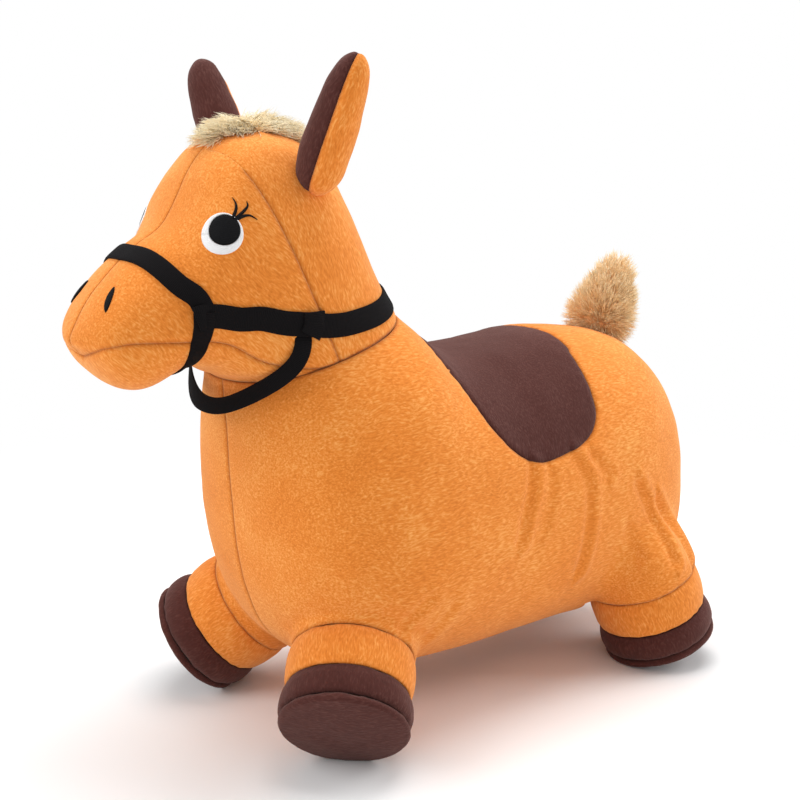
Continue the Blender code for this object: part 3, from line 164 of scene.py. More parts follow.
fade = node(tree, "ShaderNodeMapRange", {"interpolation_type": "SMOOTHSTEP"},
            {0: reach, 1: FLOOR_NEAR, 2: FLOOR_FAR, 3: 0.0, 4: 1.0})
glow = tree.nodes.new("ShaderNodeEmission")
glow.inputs["Color"].default_value = WHITE
mix_shaders(tree, fade * seen_plainly(tree), shader, glow, "Material Output")
floor.data.materials.append(floor_look)

world = bpy.data.worlds.new("studio")
bpy.context.scene.world = world
world.use_nodes = True
tree = world.node_tree
dim, bright = tree.nodes["Background"], tree.nodes.new("ShaderNodeBackground")
for background, strength in ((dim, ROOM_LIGHT), (bright, 1.0)):
    background.inputs["Color"].default_value = WHITE
    background.inputs["Strength"].default_value = strength
mix_shaders(tree, seen_plainly(tree), dim, bright, "World Output")

for name, place, size, power in LAMPS:
    lamp_data = bpy.data.lights.new(name, "AREA")
    lamp_data.size, lamp_data.energy = size, power
    lamp = bpy.data.objects.new(name, lamp_data)
    bpy.context.collection.objects.link(lamp)
    lamp.location = place
    lamp.rotation_euler = (LAMPS_AIM - Vector(place)).to_track_quat("-Z", "Y").to_euler()


# Body cover: two halves of short-pile orange plush, sewn together along the back, the chest and the belly,
# and pulled tight over the inflated bladder. Four short stumps lead into the legs.
# Stations are (top y, top z, bottom y, bottom z, half width), in shares of the three sizes here.
VOXEL = 0.0019
TRUNK_REACH = 0.225
SEAT_HEIGHT = 0.280
TRUNK_HALF_WIDTH = 0.118
FULLNESS = 2.3
joint_place = {joint["name"]: Vector(joint["pos_m"]) for joint in frame["joints"] if "pos_m" in joint}
RUMP_TIP_SHARE = (1.0, 0.520)
TRUNK_SHARES = [
    (0.970, 0.690, 1.006, 0.365, 0.300), (0.916, 0.806, 0.982, 0.250, 0.490),
    (0.840, 0.898, 0.924, 0.182, 0.640), (0.715, 0.970, 0.775, 0.137, 0.780),
    (0.550, 1.004, 0.577, 0.122, 0.885), (0.329, 1.014, 0.347, 0.120, 0.932),
    (0.133, 0.998, 0.124, 0.120, 0.950), (-0.009, 0.992, -0.111, 0.120, 0.958),
    (-0.089, 0.998, -0.333, 0.125, 0.983), (-0.147, 1.010, -0.556, 0.146, 1.000),
    (-0.186, 1.026, -0.710, 0.204, 1.000), (-0.220, 1.043, -0.812, 0.286, 0.990),
    (-0.252, 1.061, -0.873, 0.393, 0.970), (-0.280, 1.077, -0.907, 0.521, 0.930),
    (-0.303, 1.092, -0.926, 0.661, 0.865), (-0.323, 1.107, -0.937, 0.814, 0.770),
    (-0.337, 1.120, -0.943, 0.914, 0.680),
]
NECK_SEAM_BACK_SHARE = (-0.345, 1.130)
NECK_SEAM_FRONT_SHARE = (-0.948, 0.986)
NECK_HALF_WIDTH = 0.071
neck_back = Vector((NECK_SEAM_BACK_SHARE[0] * TRUNK_REACH, NECK_SEAM_BACK_SHARE[1] * SEAT_HEIGHT))
neck_front = Vector((NECK_SEAM_FRONT_SHARE[0] * TRUNK_REACH, NECK_SEAM_FRONT_SHARE[1] * SEAT_HEIGHT))
neck_slope = (neck_back - neck_front).normalized()
neck_up = Vector((-neck_slope[1], neck_slope[0]))
middle_shift = joint_place["head_nod"][1] - (neck_back[0] + neck_front[0]) / 2
neck_seam = (*neck_back, *neck_front, NECK_HALF_WIDTH)


def shifted(station, along):
    """A station moved along the neck's own axis."""
    ty, tz, by, bz, width = station
    y, z = neck_up[0] * along, neck_up[1] * along
    return (ty + y, tz + z, by + y, bz + z, width)


def swapped(station):
    """The same oval met again past a rounded tip."""
    ty, tz, by, bz, width = station
    return (by, bz, ty, tz, -width)


def through(stations, step):
    """Stations about a step apart on a smooth curve through the given ones; both end ones only guide it."""
    rows = np.array(stations, float)
    gaps = [math.sqrt((np.hypot(*(b - a)[0:2]) ** 2 + np.hypot(*(b - a)[2:4]) ** 2 + (b - a)[4] ** 2) / 2)
            for a, b in zip(rows, rows[1:])]
    made = []
    for k in range(1, len(rows) - 2):
        before, first, second, after = rows[k - 1:k + 3]
        g0, g1, g2 = gaps[k - 1:k + 2]
        lean_first = ((first - before) / g0 * g1 + (second - first) / g1 * g0) / (g0 + g1) * g1
        lean_second = ((second - first) / g1 * g2 + (after - second) / g2 * g1) / (g1 + g2) * g1
        count = max(2, round(g1 / step))
        for j in range(count):
            t = j / count
            made.append((2 * t ** 3 - 3 * t ** 2 + 1) * first + (t ** 3 - 2 * t ** 2 + t) * lean_first
                        + (3 * t ** 2 - 2 * t ** 3) * second + (t ** 3 - t ** 2) * lean_second)
    made.append(rows[-2])
    return made


def oval(station, angles):
    """Points round one section, from the top at angle 0 towards +X."""
    ty, tz, by, bz, width = station
    power = 2 / FULLNESS
    across = np.sign(np.sin(angles)) * np.abs(np.sin(angles)) ** power
    along = np.sign(np.cos(angles)) * np.abs(np.cos(angles)) ** power
    return np.stack([width * across, (ty + by) / 2 + (ty - by) / 2 * along + middle_shift,
                     (tz + bz) / 2 + (tz - bz) / 2 * along], 1)


def skin_over(stations, around=96):
    """A closed skin lofted over the stations, as a bmesh; its end rings are filled."""
    angles = np.arange(around) * 2 * math.pi / around
    bm = bmesh.new()
    rings = [[bm.verts.new(point) for point in oval(station, angles)] for station in stations]
    for first, second in zip(rings, rings[1:]):
        for k in range(around):
            nxt = (k + 1) % around
            bm.faces.new((first[k], first[nxt], second[nxt], second[k]))
    bm.faces.new(rings[0])
    bm.faces.new(rings[-1])
    bmesh.ops.remove_doubles(bm, verts=bm.verts, dist=0.00005)
    bmesh.ops.recalc_face_normals(bm, faces=bm.faces)
    return bm


def as_object(bm, name):
    """Makes a linked object of a bmesh."""
    mesh = bpy.data.meshes.new(name)
    bm.to_mesh(mesh)
    bm.free()
    made = bpy.data.objects.new(name, mesh)
    bpy.context.collection.objects.link(made)
    return made


def only(*things):
    """Selects these objects and no other; the first is the active one."""
    bpy.ops.object.select_all(action="DESELECT")
    for thing in things:
        thing.select_set(True)
    bpy.context.view_layer.objects.active = things[0]


def apply(thing, kind, **settings):
    """Adds one modifier with these settings and applies it."""
    step = thing.modifiers.new(kind.lower(), kind)
    for name, setting in settings.items():
        setattr(step, name, setting)
    only(thing)
    bpy.ops.object.modifier_apply(modifier=step.name)


def turned(profile, place, around, name):
    """A profile of (radius, height) spun about the place's own Z axis, with its poles closed."""
    bm = bmesh.new()
    verts = [bm.verts.new((radius, 0, height)) for radius, height in profile]
    edges = [bm.edges.new(pair) for pair in zip(verts, verts[1:])]
    bmesh.ops.spin(bm, geom=verts + edges, axis=(0, 0, 1), cent=(0, 0, 0), steps=around, angle=2 * math.pi,
                   use_merge=True)
    bmesh.ops.remove_doubles(bm, verts=bm.verts, dist=0.00002)
    bmesh.ops.transform(bm, matrix=place, verts=bm.verts)
    bmesh.ops.recalc_face_normals(bm, faces=bm.faces)
    return as_object(bm, name)


FRONT_TILT, FRONT_HEADING = 53.5, -43.3
REAR_TILT, REAR_HEADING = 19.9, 69.8
LEG_SEAM = 0.060
LEG_RADIUS = 0.0466
POCKET_RADIUS = 0.0530
SHOULDER_DEPTH = 0.075
SHOULDER_SHARES = [(0.10, 1.0), (0.25, 1.03), (0.50, 0.92), (0.75, 0.66), (0.92, 0.36), (1.0, 0.0)]
STUMP_FOOT = LEG_SEAM - 0.014
POCKET_FOOT, POCKET_TOP = -0.03, LEG_SEAM + 0.0025
STUMP_AROUND = 48
NECK_PAST_SEAM = 0.016
TIP_WIDTH = 0.0001
BODY_STEP = 0.006
BODY_EASE = 0.055
MIRROR = Matrix.Diagonal((-1, 1, 1, 1))


def leg_place(end, tilt, heading):
    """Maps a left leg's own axis, up from the middle of its sole, to the world."""
    tilt, heading = math.radians(tilt), math.radians(heading)
    up = Vector((-math.sin(tilt) * math.cos(heading), -math.sin(tilt) * math.sin(heading), math.cos(tilt)))
    down = (Vector((0, 0, -1)) + up * up[2]).normalized()
    turn = Matrix((down, up.cross(down), up)).transposed().to_4x4()
    return Matrix.Translation(joint_place["leg_" + end + "_left_flex"] - up * LEG_SEAM) @ turn


legs = {}
for end, tilt, heading in (("front", FRONT_TILT, FRONT_HEADING), ("rear", REAR_TILT, REAR_HEADING)):
    legs[end + "_left"] = leg_place(end, tilt, heading)
    legs[end + "_right"] = MIRROR @ legs[end + "_left"]

trunk_stations = [(a * TRUNK_REACH, b * SEAT_HEIGHT, c * TRUNK_REACH, d * SEAT_HEIGHT, e * TRUNK_HALF_WIDTH)
                  for a, b, c, d, e in TRUNK_SHARES]
tip = (RUMP_TIP_SHARE[0] * TRUNK_REACH, RUMP_TIP_SHARE[1] * SEAT_HEIGHT) * 2 + (TIP_WIDTH,)
guides = [swapped(trunk_stations[0]), tip] + trunk_stations
guides += [neck_seam, shifted(neck_seam, NECK_PAST_SEAM), shifted(neck_seam, 2 * NECK_PAST_SEAM)]
body_skin = as_object(skin_over(through(guides, BODY_STEP)), "body_skin")
for place in legs.values():
    pocket = turned([(0, POCKET_FOOT), (POCKET_RADIUS, POCKET_FOOT), (POCKET_RADIUS, POCKET_TOP),
                     (0, POCKET_TOP)], place, STUMP_AROUND, "pocket")
    apply(body_skin, "BOOLEAN", operation="DIFFERENCE", solver="EXACT", object=pocket)
    bpy.data.objects.remove(pocket)
stumps = []
for place in legs.values():
    profile = [(0, STUMP_FOOT), (LEG_RADIUS, STUMP_FOOT), (LEG_RADIUS, LEG_SEAM + 0.001)]
    profile += [(LEG_RADIUS * share, LEG_SEAM + SHOULDER_DEPTH * height) for height, share in SHOULDER_SHARES]
    stumps.append(turned(profile, place, STUMP_AROUND, "stump"))
only(body_skin, *stumps)
bpy.ops.object.join()
apply(body_skin, "REMESH", mode="VOXEL", voxel_size=VOXEL, use_smooth_shade=True)
apply(body_skin, "SMOOTH", factor=0.5, iterations=round(BODY_EASE / VOXEL))


def leg_coordinates(points, place):
    """Height above the sole and distance from the leg's axis."""
    inside = np.array(place.inverted())
    local = points @ inside[:3, :3].T + inside[:3, 3]
    return local[:, 2], np.hypot(local[:, 0], local[:, 1])


# The cover is stretched straight from the rump to each hind leg
STRETCH_HEIGHT, STRETCH_REACH = 0.098, 0.030
STRETCH_RADIUS, STRETCH_FOOT = 0.105, 0.064
STRETCH_EASE = 0.0012
stretched = body_skin.vertex_groups.new(name="stretched")
places = np.array([vert.co for vert in body_skin.data.vertices])
for key in ("rear_left", "rear_right"):
    height, radius = leg_coordinates(places, legs[key])
    share = np.exp(-((height - STRETCH_HEIGHT) / STRETCH_REACH) ** 2)
    share *= np.clip((STRETCH_RADIUS - radius) / 0.03, 0, 1) * np.clip((height - STRETCH_FOOT) / 0.010, 0, 1)
    for index in np.nonzero(share > 0.02)[0]:
        stretched.add([int(index)], float(share[index]), "REPLACE")
apply(body_skin, "SMOOTH", factor=0.5, iterations=round(STRETCH_EASE / VOXEL ** 2), vertex_group="stretched")
trunk_lining = body_skin.copy()
trunk_lining.data = body_skin.data.copy()
bpy.context.collection.objects.link(trunk_lining)


def points_of(bm):
    return np.array([vert.co for vert in bm.verts])


def centres_of(bm):
    bm.faces.ensure_lookup_table()
    return np.array([face.calc_center_median() for face in bm.faces])


def normals_of(bm):
    bm.verts.ensure_lookup_table()
    bm.normal_update()
    return np.array([vert.normal for vert in bm.verts])


def smooth_faces(bm):
    for face in bm.faces:
        face.smooth = True


SNAP_SHARE = 0.3
LEAST_LEAN = 0.3


def run_seam(bm, field, near=None):
    """Runs an edge loop along the zero line of a field over the skin, where near is true.

    Points that nearly lie on the line are moved on to it, and the edges between the others are split.
    """
    places = points_of(bm)
    values = field(places)
    if near is not None:
        values = np.where(near(places), values, np.abs(values) + VOXEL)
    step = VOXEL * 0.1
    slope = np.stack([(field(places + np.eye(3)[k] * step) - field(places)) / step for k in range(3)], 1)
    bm.verts.ensure_lookup_table()
    bm.normal_update()
    on_line = set()
    for index in np.nonzero(np.abs(values) < VOXEL * SNAP_SHARE)[0]:
        vert = bm.verts[index]
        lean = Vector(slope[index])
        lean -= vert.normal * lean.dot(vert.normal)
        if lean.length > LEAST_LEAN:
            vert.co -= lean * (values[index] / lean.length_squared)
            on_line.add(vert)
            values[index] = 0.0
    bm.verts.index_update()
    signs = {vert: (0 if vert in on_line else (1 if values[vert.index] > 0 else -1)) for vert in bm.verts}
    crossing = [(edge, *edge.verts) for edge in bm.edges if signs[edge.verts[0]] * signs[edge.verts[1]] < 0]
    for edge, first, second in crossing:
        a, b = values[first.index], values[second.index]
        made = bmesh.utils.edge_split(edge, first, a / (a - b))[1]
        on_line.add(made)
    for face in {face for vert in on_line for face in vert.link_faces}:
        marked = [vert for vert in face.verts if vert in on_line]
        if len(marked) == 2 and not bm.edges.get(marked):
            bmesh.utils.face_split(face, marked[0], marked[1])
    bm.verts.index_update()


def above_neck_seam(points):
    return ((points[:, 1] - neck_back[0] - middle_shift) * neck_up[0]
            + (points[:, 2] - neck_back[1]) * neck_up[1])


def across_middle(points):
    return points[:, 0]


# Saddle panel outline as seen from the side, in shares of TRUNK_REACH and SEAT_HEIGHT
SADDLE_SHARES = [
    (-0.265, 1.250), (-0.290, 1.040), (-0.238, 0.935), (-0.188, 0.841), (-0.112, 0.768), (-0.012, 0.723),
    (0.095, 0.725), (0.238, 0.754), (0.312, 0.815), (0.326, 0.886), (0.340, 0.962), (0.368, 1.008),
    (0.385, 1.250),
]


def smooth_line(points, count):
    """More points on a smooth open line through the given ones."""
    rows = np.array([points[0]] + list(points) + [points[-1]], float)
    made = []
    for a, b, c, d in zip(rows, rows[1:], rows[2:], rows[3:]):
        for k in range(count):
            t = k / count
            made.append(b + (c - a) / 2 * t + (a - 2.5 * b + 2 * c - d / 2) * t ** 2
                        + (1.5 * (b - c) + (d - a) / 2) * t ** 3)
    made.append(rows[-2])
    return np.array(made)


saddle_line = smooth_line([(y * TRUNK_REACH + middle_shift, z * SEAT_HEIGHT) for y, z in SADDLE_SHARES], 6)
FAR_OFF = 9.0


def from_saddle_line(points):
    """Signed side-view distance to the saddle's outline, negative inside the panel."""
    flat = points[:, 1:3]
    a, b = saddle_line, np.roll(saddle_line, -1, 0)
    nearest = np.full(len(flat), FAR_OFF)
    inside = np.zeros(len(flat), bool)
    for p, q in zip(a, b):
        run = q - p
        t = np.clip(((flat - p) @ run) / (run @ run), 0, 1)
        nearest = np.minimum(nearest, np.hypot(*(flat - p - t[:, None] * run).T))
        rising = (p[1] > flat[:, 1]) != (q[1] > flat[:, 1])
        if run[1] != 0:
            inside ^= rising & (flat[:, 0] < (flat[:, 1] - p[1]) / run[1] * run[0] + p[0])
    return np.where(inside, -nearest, nearest)


bm = bmesh.new()
bm.from_mesh(body_skin.data)
run_seam(bm, above_neck_seam)
for place in legs.values():
    run_seam(bm, lambda p: leg_coordinates(p, place)[0] - LEG_SEAM,
             lambda p: (leg_coordinates(p, place)[1] < LEG_RADIUS + 0.0025)
             & (np.abs(leg_coordinates(p, place)[0] - LEG_SEAM) < 0.02))
centres = centres_of(bm)
beyond = above_neck_seam(centres) > 0
for place in legs.values():
    height, radius = leg_coordinates(centres, place)
    beyond |= (height < LEG_SEAM) & (radius < LEG_RADIUS + 0.0022) & (height > 0.02)
bmesh.ops.delete(bm, geom=[bm.faces[k] for k in np.nonzero(beyond)[0]], context="FACES")
run_seam(bm, from_saddle_line)
run_seam(bm, across_middle)
centres = centres_of(bm)
in_saddle = from_saddle_line(centres) < 0
on_left = centres[:, 0] > 0


def seam_push(distance, depth, width):
    """How far a line of stitching draws the skin in at a distance from it."""
    return depth * np.exp(-(distance / width) ** 2)


def relief(points, scale, seed):
    """Smooth unevenness of about one at each point."""
    offset = Vector((seed * 7.13, seed * 3.71, seed * 5.39))
    return np.array([noise.noise(Vector(p) / scale + offset) for p in points])


def draw_in(bm, push, normals):
    """Moves each point in along its normal."""
    for vert, amount, normal in zip(bm.verts, push, normals):
        vert.co -= Vector(normal) * amount


def mark_seams(bm, gaps, width):
    """Stores how near each point lies to a line of stitching, for the material to darken."""
    layer = bm.verts.layers.float.new("seam")
    for vert, gap in zip(bm.verts, gaps):
        vert[layer] = math.exp(-(gap / width) ** 2)


SEAM_DEPTH = 0.0013
SEAM_WIDTH = 0.0018
STITCH_SHADE = 0.0016
PUCKER_DEPTH = 0.0006
FOLD_WIDTH = 0.0048
RIDGE_SHARE, RIDGE_PLACE, RIDGE_WIDTH = 0.8, 0.0085, 0.0050
TAPE_FLAT, TAPE_REACH, TAPE_FADE, TAPE_BELOW = 0.0009, 0.014, 0.006, 0.07
# Soft folds that the pull of the saddle's foot and of the hind leg draws in the flank: side view, depth
FOLDS = [
    ([(0.041, 0.198), (0.038, 0.185), (0.031, 0.166), (0.025, 0.146)], 0.0023),
    ([(0.086, 0.199), (0.092, 0.192), (0.100, 0.174), (0.100, 0.135), (0.097, 0.105)], 0.0020),
    ([(0.107, 0.197), (0.123, 0.181)], 0.0016), ([(0.060, 0.190), (0.056, 0.170), (0.050, 0.150)], 0.0010),
    ([(0.160, 0.165), (0.178, 0.135), (0.188, 0.098)], 0.0026),
    ([(0.188, 0.145), (0.206, 0.117), (0.218, 0.088)], 0.0026), ([(0.150, 0.130), (0.158, 0.105)], 0.0012),
    ([(-0.060, 0.120), (-0.078, 0.100), (-0.088, 0.080)], 0.0014),
    ([(-0.035, 0.110), (-0.050, 0.085)], 0.0010),
]
places, normals = points_of(bm), normals_of(bm)
saddle_gap = np.abs(from_saddle_line(places))
middle_gap = np.where(from_saddle_line(places) < -0.0001, FAR_OFF, np.abs(places[:, 0]))
leg_gap = np.full(len(places), FAR_OFF)
for place in legs.values():
    height, radius = leg_coordinates(places, place)
    leg_gap = np.minimum(leg_gap, np.where(radius < LEG_RADIUS + 0.02, np.abs(height - LEG_SEAM), FAR_OFF))
neck_gap = np.abs(above_neck_seam(places))
push = seam_push(saddle_gap, SEAM_DEPTH, SEAM_WIDTH) + seam_push(middle_gap, SEAM_DEPTH * 0.8, SEAM_WIDTH)
push += seam_push(leg_gap, SEAM_DEPTH * 0.8, SEAM_WIDTH) + seam_push(neck_gap, SEAM_DEPTH * 0.4, SEAM_WIDTH)
tape_low, tape_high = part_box("zip_tape_left")
by_tape = np.exp(-(places[:, 0] / TAPE_REACH) ** 4) * (places[:, 2] < TAPE_BELOW)
by_tape *= (np.clip((places[:, 1] - tape_low[1]) / TAPE_FADE + 1, 0, 1)
            * np.clip((tape_high[1] - places[:, 1]) / TAPE_FADE + 1, 0, 1))
push -= (0.0009 * relief(places, 0.045, 1) + 0.0004 * relief(places, 0.018, 2)) * (1 - by_tape)
push += TAPE_FLAT * by_tape
for path, depth in FOLDS:
    stretch = smooth_line(path, 8)
    steps = np.hypot(places[:, 1, None] - stretch[:, 0], places[:, 2, None] - stretch[:, 1])
    nearest = np.argmin(steps, 1)
    beside = steps[np.arange(len(places)), nearest]
    behind = np.where(places[:, 1] > stretch[nearest, 0], beside, -beside)
    push += depth * (np.exp(-(behind / FOLD_WIDTH) ** 2)
                     - RIDGE_SHARE * np.exp(-((behind - RIDGE_PLACE) / RIDGE_WIDTH) ** 2))
pucker = np.exp(-np.minimum(saddle_gap, leg_gap) / 0.012) * relief(places, 0.007, 3)
push -= PUCKER_DEPTH * pucker
draw_in(bm, push, normals)
mark_seams(bm, np.min([saddle_gap, middle_gap, leg_gap, neck_gap], 0), STITCH_SHADE)

HEM = 0.0025


def piece_from(bm, chosen, name):
    """The chosen faces as an object of their own, with the cut edges turned in as a hem."""
    part = bm.copy()
    part.faces.ensure_lookup_table()
    bmesh.ops.delete(part, geom=[face for face, keep in zip(part.faces, chosen) if not keep], context="FACES")
    part.normal_update()
    rim = [edge for edge in part.edges if edge.is_boundary]
    drawn = bmesh.ops.extrude_edge_only(part, edges=rim)["geom"]
    for vert in drawn:
        if isinstance(vert, bmesh.types.BMVert):
            old = min((edge.other_vert(vert) for edge in vert.link_edges if not edge.is_boundary),
                      key=lambda other: (other.co - vert.co).length)
            vert.co -= old.normal * HEM
    smooth_faces(part)
    return as_object(part, name)


body_left = piece_from(bm, ~in_saddle & on_left, "body_plush_left")
body_right = piece_from(bm, ~in_saddle & ~on_left, "body_plush_right")
saddle = piece_from(bm, in_saddle, "saddle_plush")
bm.free()
bpy.data.objects.remove(body_skin)


def lay_cloth(thing, axes):
    """Stores where each point lies on the cloth, with the nap along the second axis."""
    mesh = thing.data
    places = np.empty(len(mesh.vertices) * 3)
    mesh.vertices.foreach_get("co", places)
    places = places.reshape(-1, 3)
    cloth = mesh.attributes.new("cloth", "FLOAT_VECTOR", "POINT")
    cloth.data.foreach_set("vector", (places @ np.array(axes, float).T).ravel())


PILE_DEPTH = 0.0006


def plush(name, colour, light, dark, seam_colour, sheen=0.34, tint=(1.0, 0.74, 0.44), contrast=0.5):
    """Short-pile plush: streaks of pile lying along the nap, in broad patches brushed lighter or darker."""
    made, tree, shader = new_material(name, 0.95, Sheen_Weight=sheen, Sheen_Roughness=0.5,
                                      Sheen_Tint=(*tint, 1.0), Specular_IOR_Level=0.1)
    cloth = node(tree, "ShaderNodeAttribute", {"attribute_name": "cloth"}, {}, 1)
    bent = node(tree, "ShaderNodeTexNoise", {}, {"Vector": cloth, "Scale": 42.0, "Detail": 1.0}, 1)
    moved = node(tree, "ShaderNodeVectorMath", {"operation": "MULTIPLY_ADD"},
                 {0: bent, 1: (0.007, 0.007, 0.007), 2: cloth})
    lain = node(tree, "ShaderNodeMapping", {"vector_type": "TEXTURE"},
                {"Vector": moved, "Scale": (1.0, 4.0, 1.0)})
    streak = node(tree, "ShaderNodeTexNoise", {},
                  {"Vector": lain, "Scale": 720.0, "Detail": 1.5, "Roughness": 0.55})
    stroke = node(tree, "ShaderNodeTexNoise", {}, {"Vector": lain, "Scale": 1100.0, "Detail": 1.0})
    grain = node(tree, "ShaderNodeTexNoise", {}, {"Vector": cloth, "Scale": 2400.0, "Detail": 1.0})
    patch = node(tree, "ShaderNodeTexNoise", {}, {"Vector": cloth, "Scale": 17.0, "Detail": 2.0})
    pile = streak * 0.62 + stroke * 0.26 + grain * 0.12
    level = (pile - 0.5) * (3.2 * contrast) + (patch - 0.5) * (0.9 * contrast) + 0.46
    tone = node(tree, "ShaderNodeValToRGB", {"stops": [(0.0, dark), (0.45, colour), (1.0, light)]},
                {0: level})
    seam = node(tree, "ShaderNodeAttribute", {"attribute_name": "seam"}, {}, 2)
    tone = mix(tree, seam * 0.5, tone, seam_colour)
    tree.links.new(tone.socket, shader.inputs["Base Color"])
    bump = node(tree, "ShaderNodeBump", {}, {"Height": pile, "Strength": 0.8, "Distance": PILE_DEPTH})
    tree.links.new(bump.socket, shader.inputs["Normal"])
    return made


ORANGE = (0.785, 0.240, 0.035)
ORANGE_LIGHT = (0.98, 0.50, 0.15)
ORANGE_DARK = (0.60, 0.15, 0.015)
ORANGE_SEAM = (0.30, 0.06, 0.008)
orange_look = plush("orange_plush", ORANGE, ORANGE_LIGHT, ORANGE_DARK, ORANGE_SEAM)
ALONG_BODY = ((1, 0, 0), (0, 1, 0), (0, 0, 1))
for piece, cad_node in ((body_left, "body_cover_left"), (body_right, "body_cover_right")):
    lay_cloth(piece, ALONG_BODY)
    piece.data.materials.append(orange_look)
    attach(piece, "body")
    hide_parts(cad_node)


# Saddle: one panel of dark brown plush, cut out of the skin above with the body covers. It is let into the
# back with its edge turned in, and its pile lies down the flanks.
BROWN = (0.072, 0.022, 0.018)
BROWN_LIGHT = (0.145, 0.060, 0.049)
BROWN_DARK = (0.048, 0.014, 0.010)
BROWN_SEAM = (0.03, 0.008, 0.006)
brown_look = plush("brown_plush", BROWN, BROWN_LIGHT, BROWN_DARK, BROWN_SEAM, sheen=0.16,
                   tint=(1.0, 0.72, 0.66), contrast=0.4)
lay_cloth(saddle, ((0, 1, 0), (0, 0, 1), (1, 0, 0)))
saddle.data.materials.append(brown_look)
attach(saddle, "body")
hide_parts("saddle_panel")


# Neck and head: two neck covers, two face covers and a chin panel of orange plush, sewn over the bladder's
# head. Seams run down the middle, behind the cheeks and along the mouth.
HEAD_LENGTH = 0.190
HEAD_RISE = 0.150
HEAD_SHARES = [
    (0.071, 0.151, 0.067, 0.040, 1.000), (0.131, 0.297, 0.098, 0.063, 1.000),
    (0.181, 0.451, 0.125, 0.080, 1.000), (0.241, 0.604, 0.151, 0.087, 0.993),
    (0.331, 0.771, 0.167, 0.093, 0.979), (0.439, 0.864, 0.183, 0.097, 0.951),
    (0.586, 0.898, 0.198, 0.100, 0.915), (0.723, 0.858, 0.219, 0.097, 0.880),
    (0.815, 0.741, 0.240, 0.087, 0.838), (0.886, 0.581, 0.266, 0.067, 0.789),
    (0.950, 0.471, 0.298, 0.047, 0.739), (1.038, 0.401, 0.346, 0.023, 0.697),
    (1.123, 0.323, 0.398, 0.020, 0.662), (1.194, 0.230, 0.456, 0.047, 0.613),
    (1.252, 0.139, 0.511, 0.107, 0.521), (1.286, 0.071, 0.563, 0.200, 0.338),
]
MUZZLE_TIP_SHARE = (0.600, 0.262)
HEAD_STEP = 0.004
HEAD_EASE = 0.02


def head_spot(share, foot=neck_back):
    return foot + Vector((-share[0] * HEAD_LENGTH, share[1] * HEAD_RISE))


head_stations = [neck_seam] + [(*head_spot((a, b)), *head_spot((c, d), neck_front), e * NECK_HALF_WIDTH)
                               for a, b, c, d, e in HEAD_SHARES]
muzzle = tuple(head_spot(MUZZLE_TIP_SHARE, neck_front)) * 2 + (TIP_WIDTH,)
guides = [shifted(neck_seam, -2 * NECK_PAST_SEAM), shifted(neck_seam, -NECK_PAST_SEAM)] + head_stations
guides += [muzzle, swapped(head_stations[-1])]
head_skin = as_object(skin_over(through(guides, HEAD_STEP)), "head_skin")
apply(head_skin, "REMESH", mode="VOXEL", voxel_size=VOXEL, use_smooth_shade=True)
apply(head_skin, "SMOOTH", factor=0.5, iterations=round(HEAD_EASE / VOXEL))


def side_line(first, second):
    """A field that is the distance in front of the plane through two points of the side view."""
    run = np.array(second) - np.array(first)
    normal = np.array([-run[1], run[0]]) / np.hypot(*run)
    if normal[0] > 0:
        normal = -normal
    return lambda points: ((points[:, 1] - middle_shift - first[0]) * normal[0]
                           + (points[:, 2] - first[1]) * normal[1])


from_cheek = side_line(head_spot((0.77, 0.82)), head_spot((0.486, 0.02)))
SEAM_FADES = 0.424
mouth_nose, mouth_throat = head_spot((0.56, 0.16), neck_front), head_spot((0.09, 0.11), neck_front)
run = (mouth_nose - mouth_throat).normalized()
MOUTH_BOW, MOUTH_HALF, MOUTH_MIDDLE = 0.0185, 0.052, 0.043
NOSE_DIP, NOSE_HALF, NOSE_START, NOSE_FADE = 0.8, 0.030, 0.070, 0.020


def above_mouth(points):
    """Height above the mouth seam, which bows up along the cheek and dips under the nose."""
    y, z = points[:, 1] - middle_shift - mouth_throat[0], points[:, 2] - mouth_throat[1]
    along, up = y * run[0] + z * run[1], -y * run[1] + z * run[0]
    bow = MOUTH_BOW / (1 + ((along - MOUTH_MIDDLE) / MOUTH_HALF) ** 6)
    bow *= 1 - (NOSE_DIP * np.clip(1 - np.abs(points[:, 0]) / NOSE_HALF, 0, 1)
                * np.clip((along - NOSE_START) / NOSE_FADE, 0, 1))
    return (-up if run[0] < 0 else up) - bow


bm = bmesh.new()
bm.from_mesh(head_skin.data)
run_seam(bm, above_neck_seam)
centres = centres_of(bm)
bmesh.ops.delete(bm, geom=[bm.faces[k] for k in np.nonzero(above_neck_seam(centres) < 0)[0]], context="FACES")
run_seam(bm, from_cheek)
run_seam(bm, above_mouth, lambda p: from_cheek(p) > -VOXEL)
run_seam(bm, across_middle)
centres = centres_of(bm)
in_face = from_cheek(centres) > 0
in_chin = in_face & (above_mouth(centres) < 0)
on_left = centres[:, 0] > 0
places, normals = points_of(bm), normals_of(bm)
ahead = from_cheek(places) > 0
below = (above_mouth(places) < -0.0001) & ahead
cheek_gap = np.abs(from_cheek(places)) + np.clip(places[:, 2] - SEAM_FADES, 0, 0.01)
mouth_gap = np.where(ahead, np.abs(above_mouth(places)), FAR_OFF)
middle_gap = np.where(below, FAR_OFF, np.abs(places[:, 0]) + 0.0007)
neck_gap = np.abs(above_neck_seam(places))
push = seam_push(cheek_gap, SEAM_DEPTH * 0.7, SEAM_WIDTH) + seam_push(mouth_gap, SEAM_DEPTH, SEAM_WIDTH * 1.2)
push += seam_push(middle_gap, SEAM_DEPTH * 0.6, SEAM_WIDTH)
push += seam_push(neck_gap, SEAM_DEPTH * 0.4, SEAM_WIDTH)
push -= 0.0008 * relief(places, 0.040, 4) + 0.0003 * relief(places, 0.016, 5)
draw_in(bm, push, normals)
mark_seams(bm, np.min([cheek_gap, mouth_gap, middle_gap, neck_gap], 0), STITCH_SHADE)
